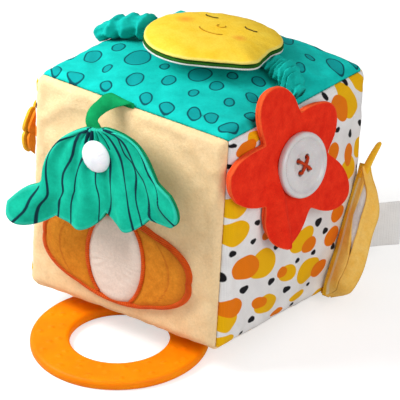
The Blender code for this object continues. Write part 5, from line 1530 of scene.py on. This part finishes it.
def makeRing():
    rubber = mouldedFinish("siliconeOrange", {  # moulded silicone rubber: saturated, satin, soft glow at thin edges
        "light": "#FF8E00", "shade": "#FD8200", "cloud": 14, "grain": 0.5, "roughness": 0.5, "specular": 0.15,
        "bump": 0.03, "ior": 1.41, "glow": 0.25})
    bm = bmesh.new()
    verts = [bm.verts.new((ring["midline"] + p.x, 0, p.y)) for p in evenLoop(
        bandSection(ring["half"], ring["thick"], ring["round"], 8), 72)]
    for number, vert in enumerate(verts):
        bm.edges.new((verts[number - 1], vert))
    bmesh.ops.spin(
        bm, geom=bm.verts[:] + bm.edges[:], cent=(0, 0, 0), axis=(0, 0, 1), angle=math.tau, steps=300,
        use_merge=True)
    bmesh.ops.remove_doubles(bm, verts=bm.verts, dist=0.00001)
    bmesh.ops.recalc_face_normals(bm, faces=bm.faces)
    nubs = []
    for number in range(ring["nubs"]):  # small teething nubs on both faces, in three loose rows
        angle = math.tau * number / ring["nubs"] + 0.04 * math.sin(number * 2.3)
        radius = ring["midline"] + (0.0045, -0.0040, 0.0002)[number % 3]
        nubs.append((radius * math.cos(angle), radius * math.sin(angle)))
    nubs = numpy.array(nubs)
    for vert in bm.verts:
        if abs(vert.co.z) > ring["thick"] * 0.9:
            near = numpy.hypot(nubs[:, 0] - vert.co.x, nubs[:, 1] - vert.co.y).min()
            vert.co.z += math.copysign(0.0005 * ease(1 - near / 0.0019), vert.co.z)
    bm.transform(Matrix.Translation((0, -ring["hingeToMiddle"], 0)))
    bm.transform(ringPlace)
    for vert in bm.verts:
        vert.co.z = max(vert.co.z, 0.0)
    finishPiece(bm, "teetherRing", rubber, "ring", ["teether_ring"], "ring_rubber", Matrix.Identity(4))
    tape = clothFinish("tealWovenTape", {  # woven twill tape, teal
        "light": "#1FB8AC", "shade": "#129A90", "mottle": 5, "grain": 0.6, "grainAndHollowShade": 0.2, "bump": 0.15, "thread": 0.8})
    section = evenLoop(bandSection(
        ring["half"] + ring["easeLong"], ring["thick"] + ring["easeRound"], ring["round"], 8), 64)

    def loopPlace(angle, share):
        point = section[round(angle / math.tau * 64) % 64]
        return Vector((ring["loopWidth"] * (share - 0.5), -ring["hingeToMiddle"] + ring["midline"] + point.x, point.y))

    bm = tube(64, 12, loopPlace, capped=False)
    loop = finishPiece(bm, "ringLoop", tape, "ring", ["ring_loop"], "tape", ringPlace)
    thicken(loop, ring["loopCloth"], 1.0)
    low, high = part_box("ring_tab")

    def tabPlace(angle, share):
        deep = math.copysign(abs(math.sin(angle)) ** 0.5, math.sin(angle)) * (high.y - low.y) / 2
        wide = math.copysign(abs(math.cos(angle)) ** 0.3, math.cos(angle)) * (high.x - low.x) / 2
        middle = (low + high) / 2
        return Vector((middle.x + wide, middle.y + deep, low.z + (high.z - low.z) * share))

    bm = tube(24, 12, tabPlace)
    finishPiece(bm, "ringTab", tape, "block", ["ring_tab"], "tape", Matrix.Identity(4))


makeRing()
print("ring done")


# Floor, backdrop and light
def makeStudio():
    bm = bmesh.new()
    bmesh.ops.create_grid(bm, x_segments=1, y_segments=1, size=6.0)
    mesh = bpy.data.meshes.new("floor")
    bm.to_mesh(mesh)
    bm.free()
    floor = bpy.data.objects.new("floor", mesh)
    scene.collection.objects.link(floor)
    paper = bpy.data.materials.new("whitePaper")  # matte white studio paper
    paper.use_nodes = True
    tree = paper.node_tree
    shader = tree.nodes["Principled BSDF"]
    place = addNode(tree, "ShaderNodeTexCoord").outputs["Object"]
    grain = addNode(tree, "ShaderNodeTexNoise", {"Vector": place, "Scale": 400.0}).outputs["Fac"]
    tint = addNode(tree, "ShaderNodeValToRGB", {"Fac": grain}, stops=((0.3, "#CFCFCF"), (0.7, "#D3D3D3")))
    tree.links.new(tint.outputs["Color"], shader.inputs["Base Color"])
    shader.inputs["Roughness"].default_value = 0.9
    seen = addNode(tree, "ShaderNodeLightPath").outputs["Is Camera Ray"]
    lift = addNode(tree, "ShaderNodeMath", {0: seen, 1: 0.56}, operation="MULTIPLY").outputs[0]
    shader.inputs["Emission Color"].default_value = (1, 1, 1, 1)
    tree.links.new(lift, shader.inputs["Emission Strength"])
    mesh.materials.append(paper)
    world = bpy.data.worlds.new("studio")
    scene.world = world
    world.use_nodes = True
    sky = world.node_tree
    seen = addNode(sky, "ShaderNodeLightPath").outputs["Is Camera Ray"]
    strength = addNode(sky, "ShaderNodeMapRange", {"Value": seen, "To Min": 0.38, "To Max": 1.0}).outputs[0]
    background = sky.nodes["Background"]
    background.inputs["Color"].default_value = (1, 1, 1, 1)
    sky.links.new(strength, background.inputs["Strength"])
    for name, spot, size, power in (
        ("keyLight", (-0.24, -0.17, 0.33), 0.22, 1.85),
        ("fillLight", (0.9, -0.25, 0.55), 0.6, 4.8),
    ):
        lamp = bpy.data.objects.new(name, bpy.data.lights.new(name, "AREA"))
        lamp.data.size = size
        lamp.data.energy = power
        lamp.location = spot
        lamp.rotation_mode = "QUATERNION"
        lamp.rotation_quaternion = (Vector(spot) - Vector((0, 0, 0.05))).to_track_quat("Z", "Y")
        scene.collection.objects.link(lamp)
    scene.view_settings.view_transform = "Standard"


makeStudio()

print("studio done")
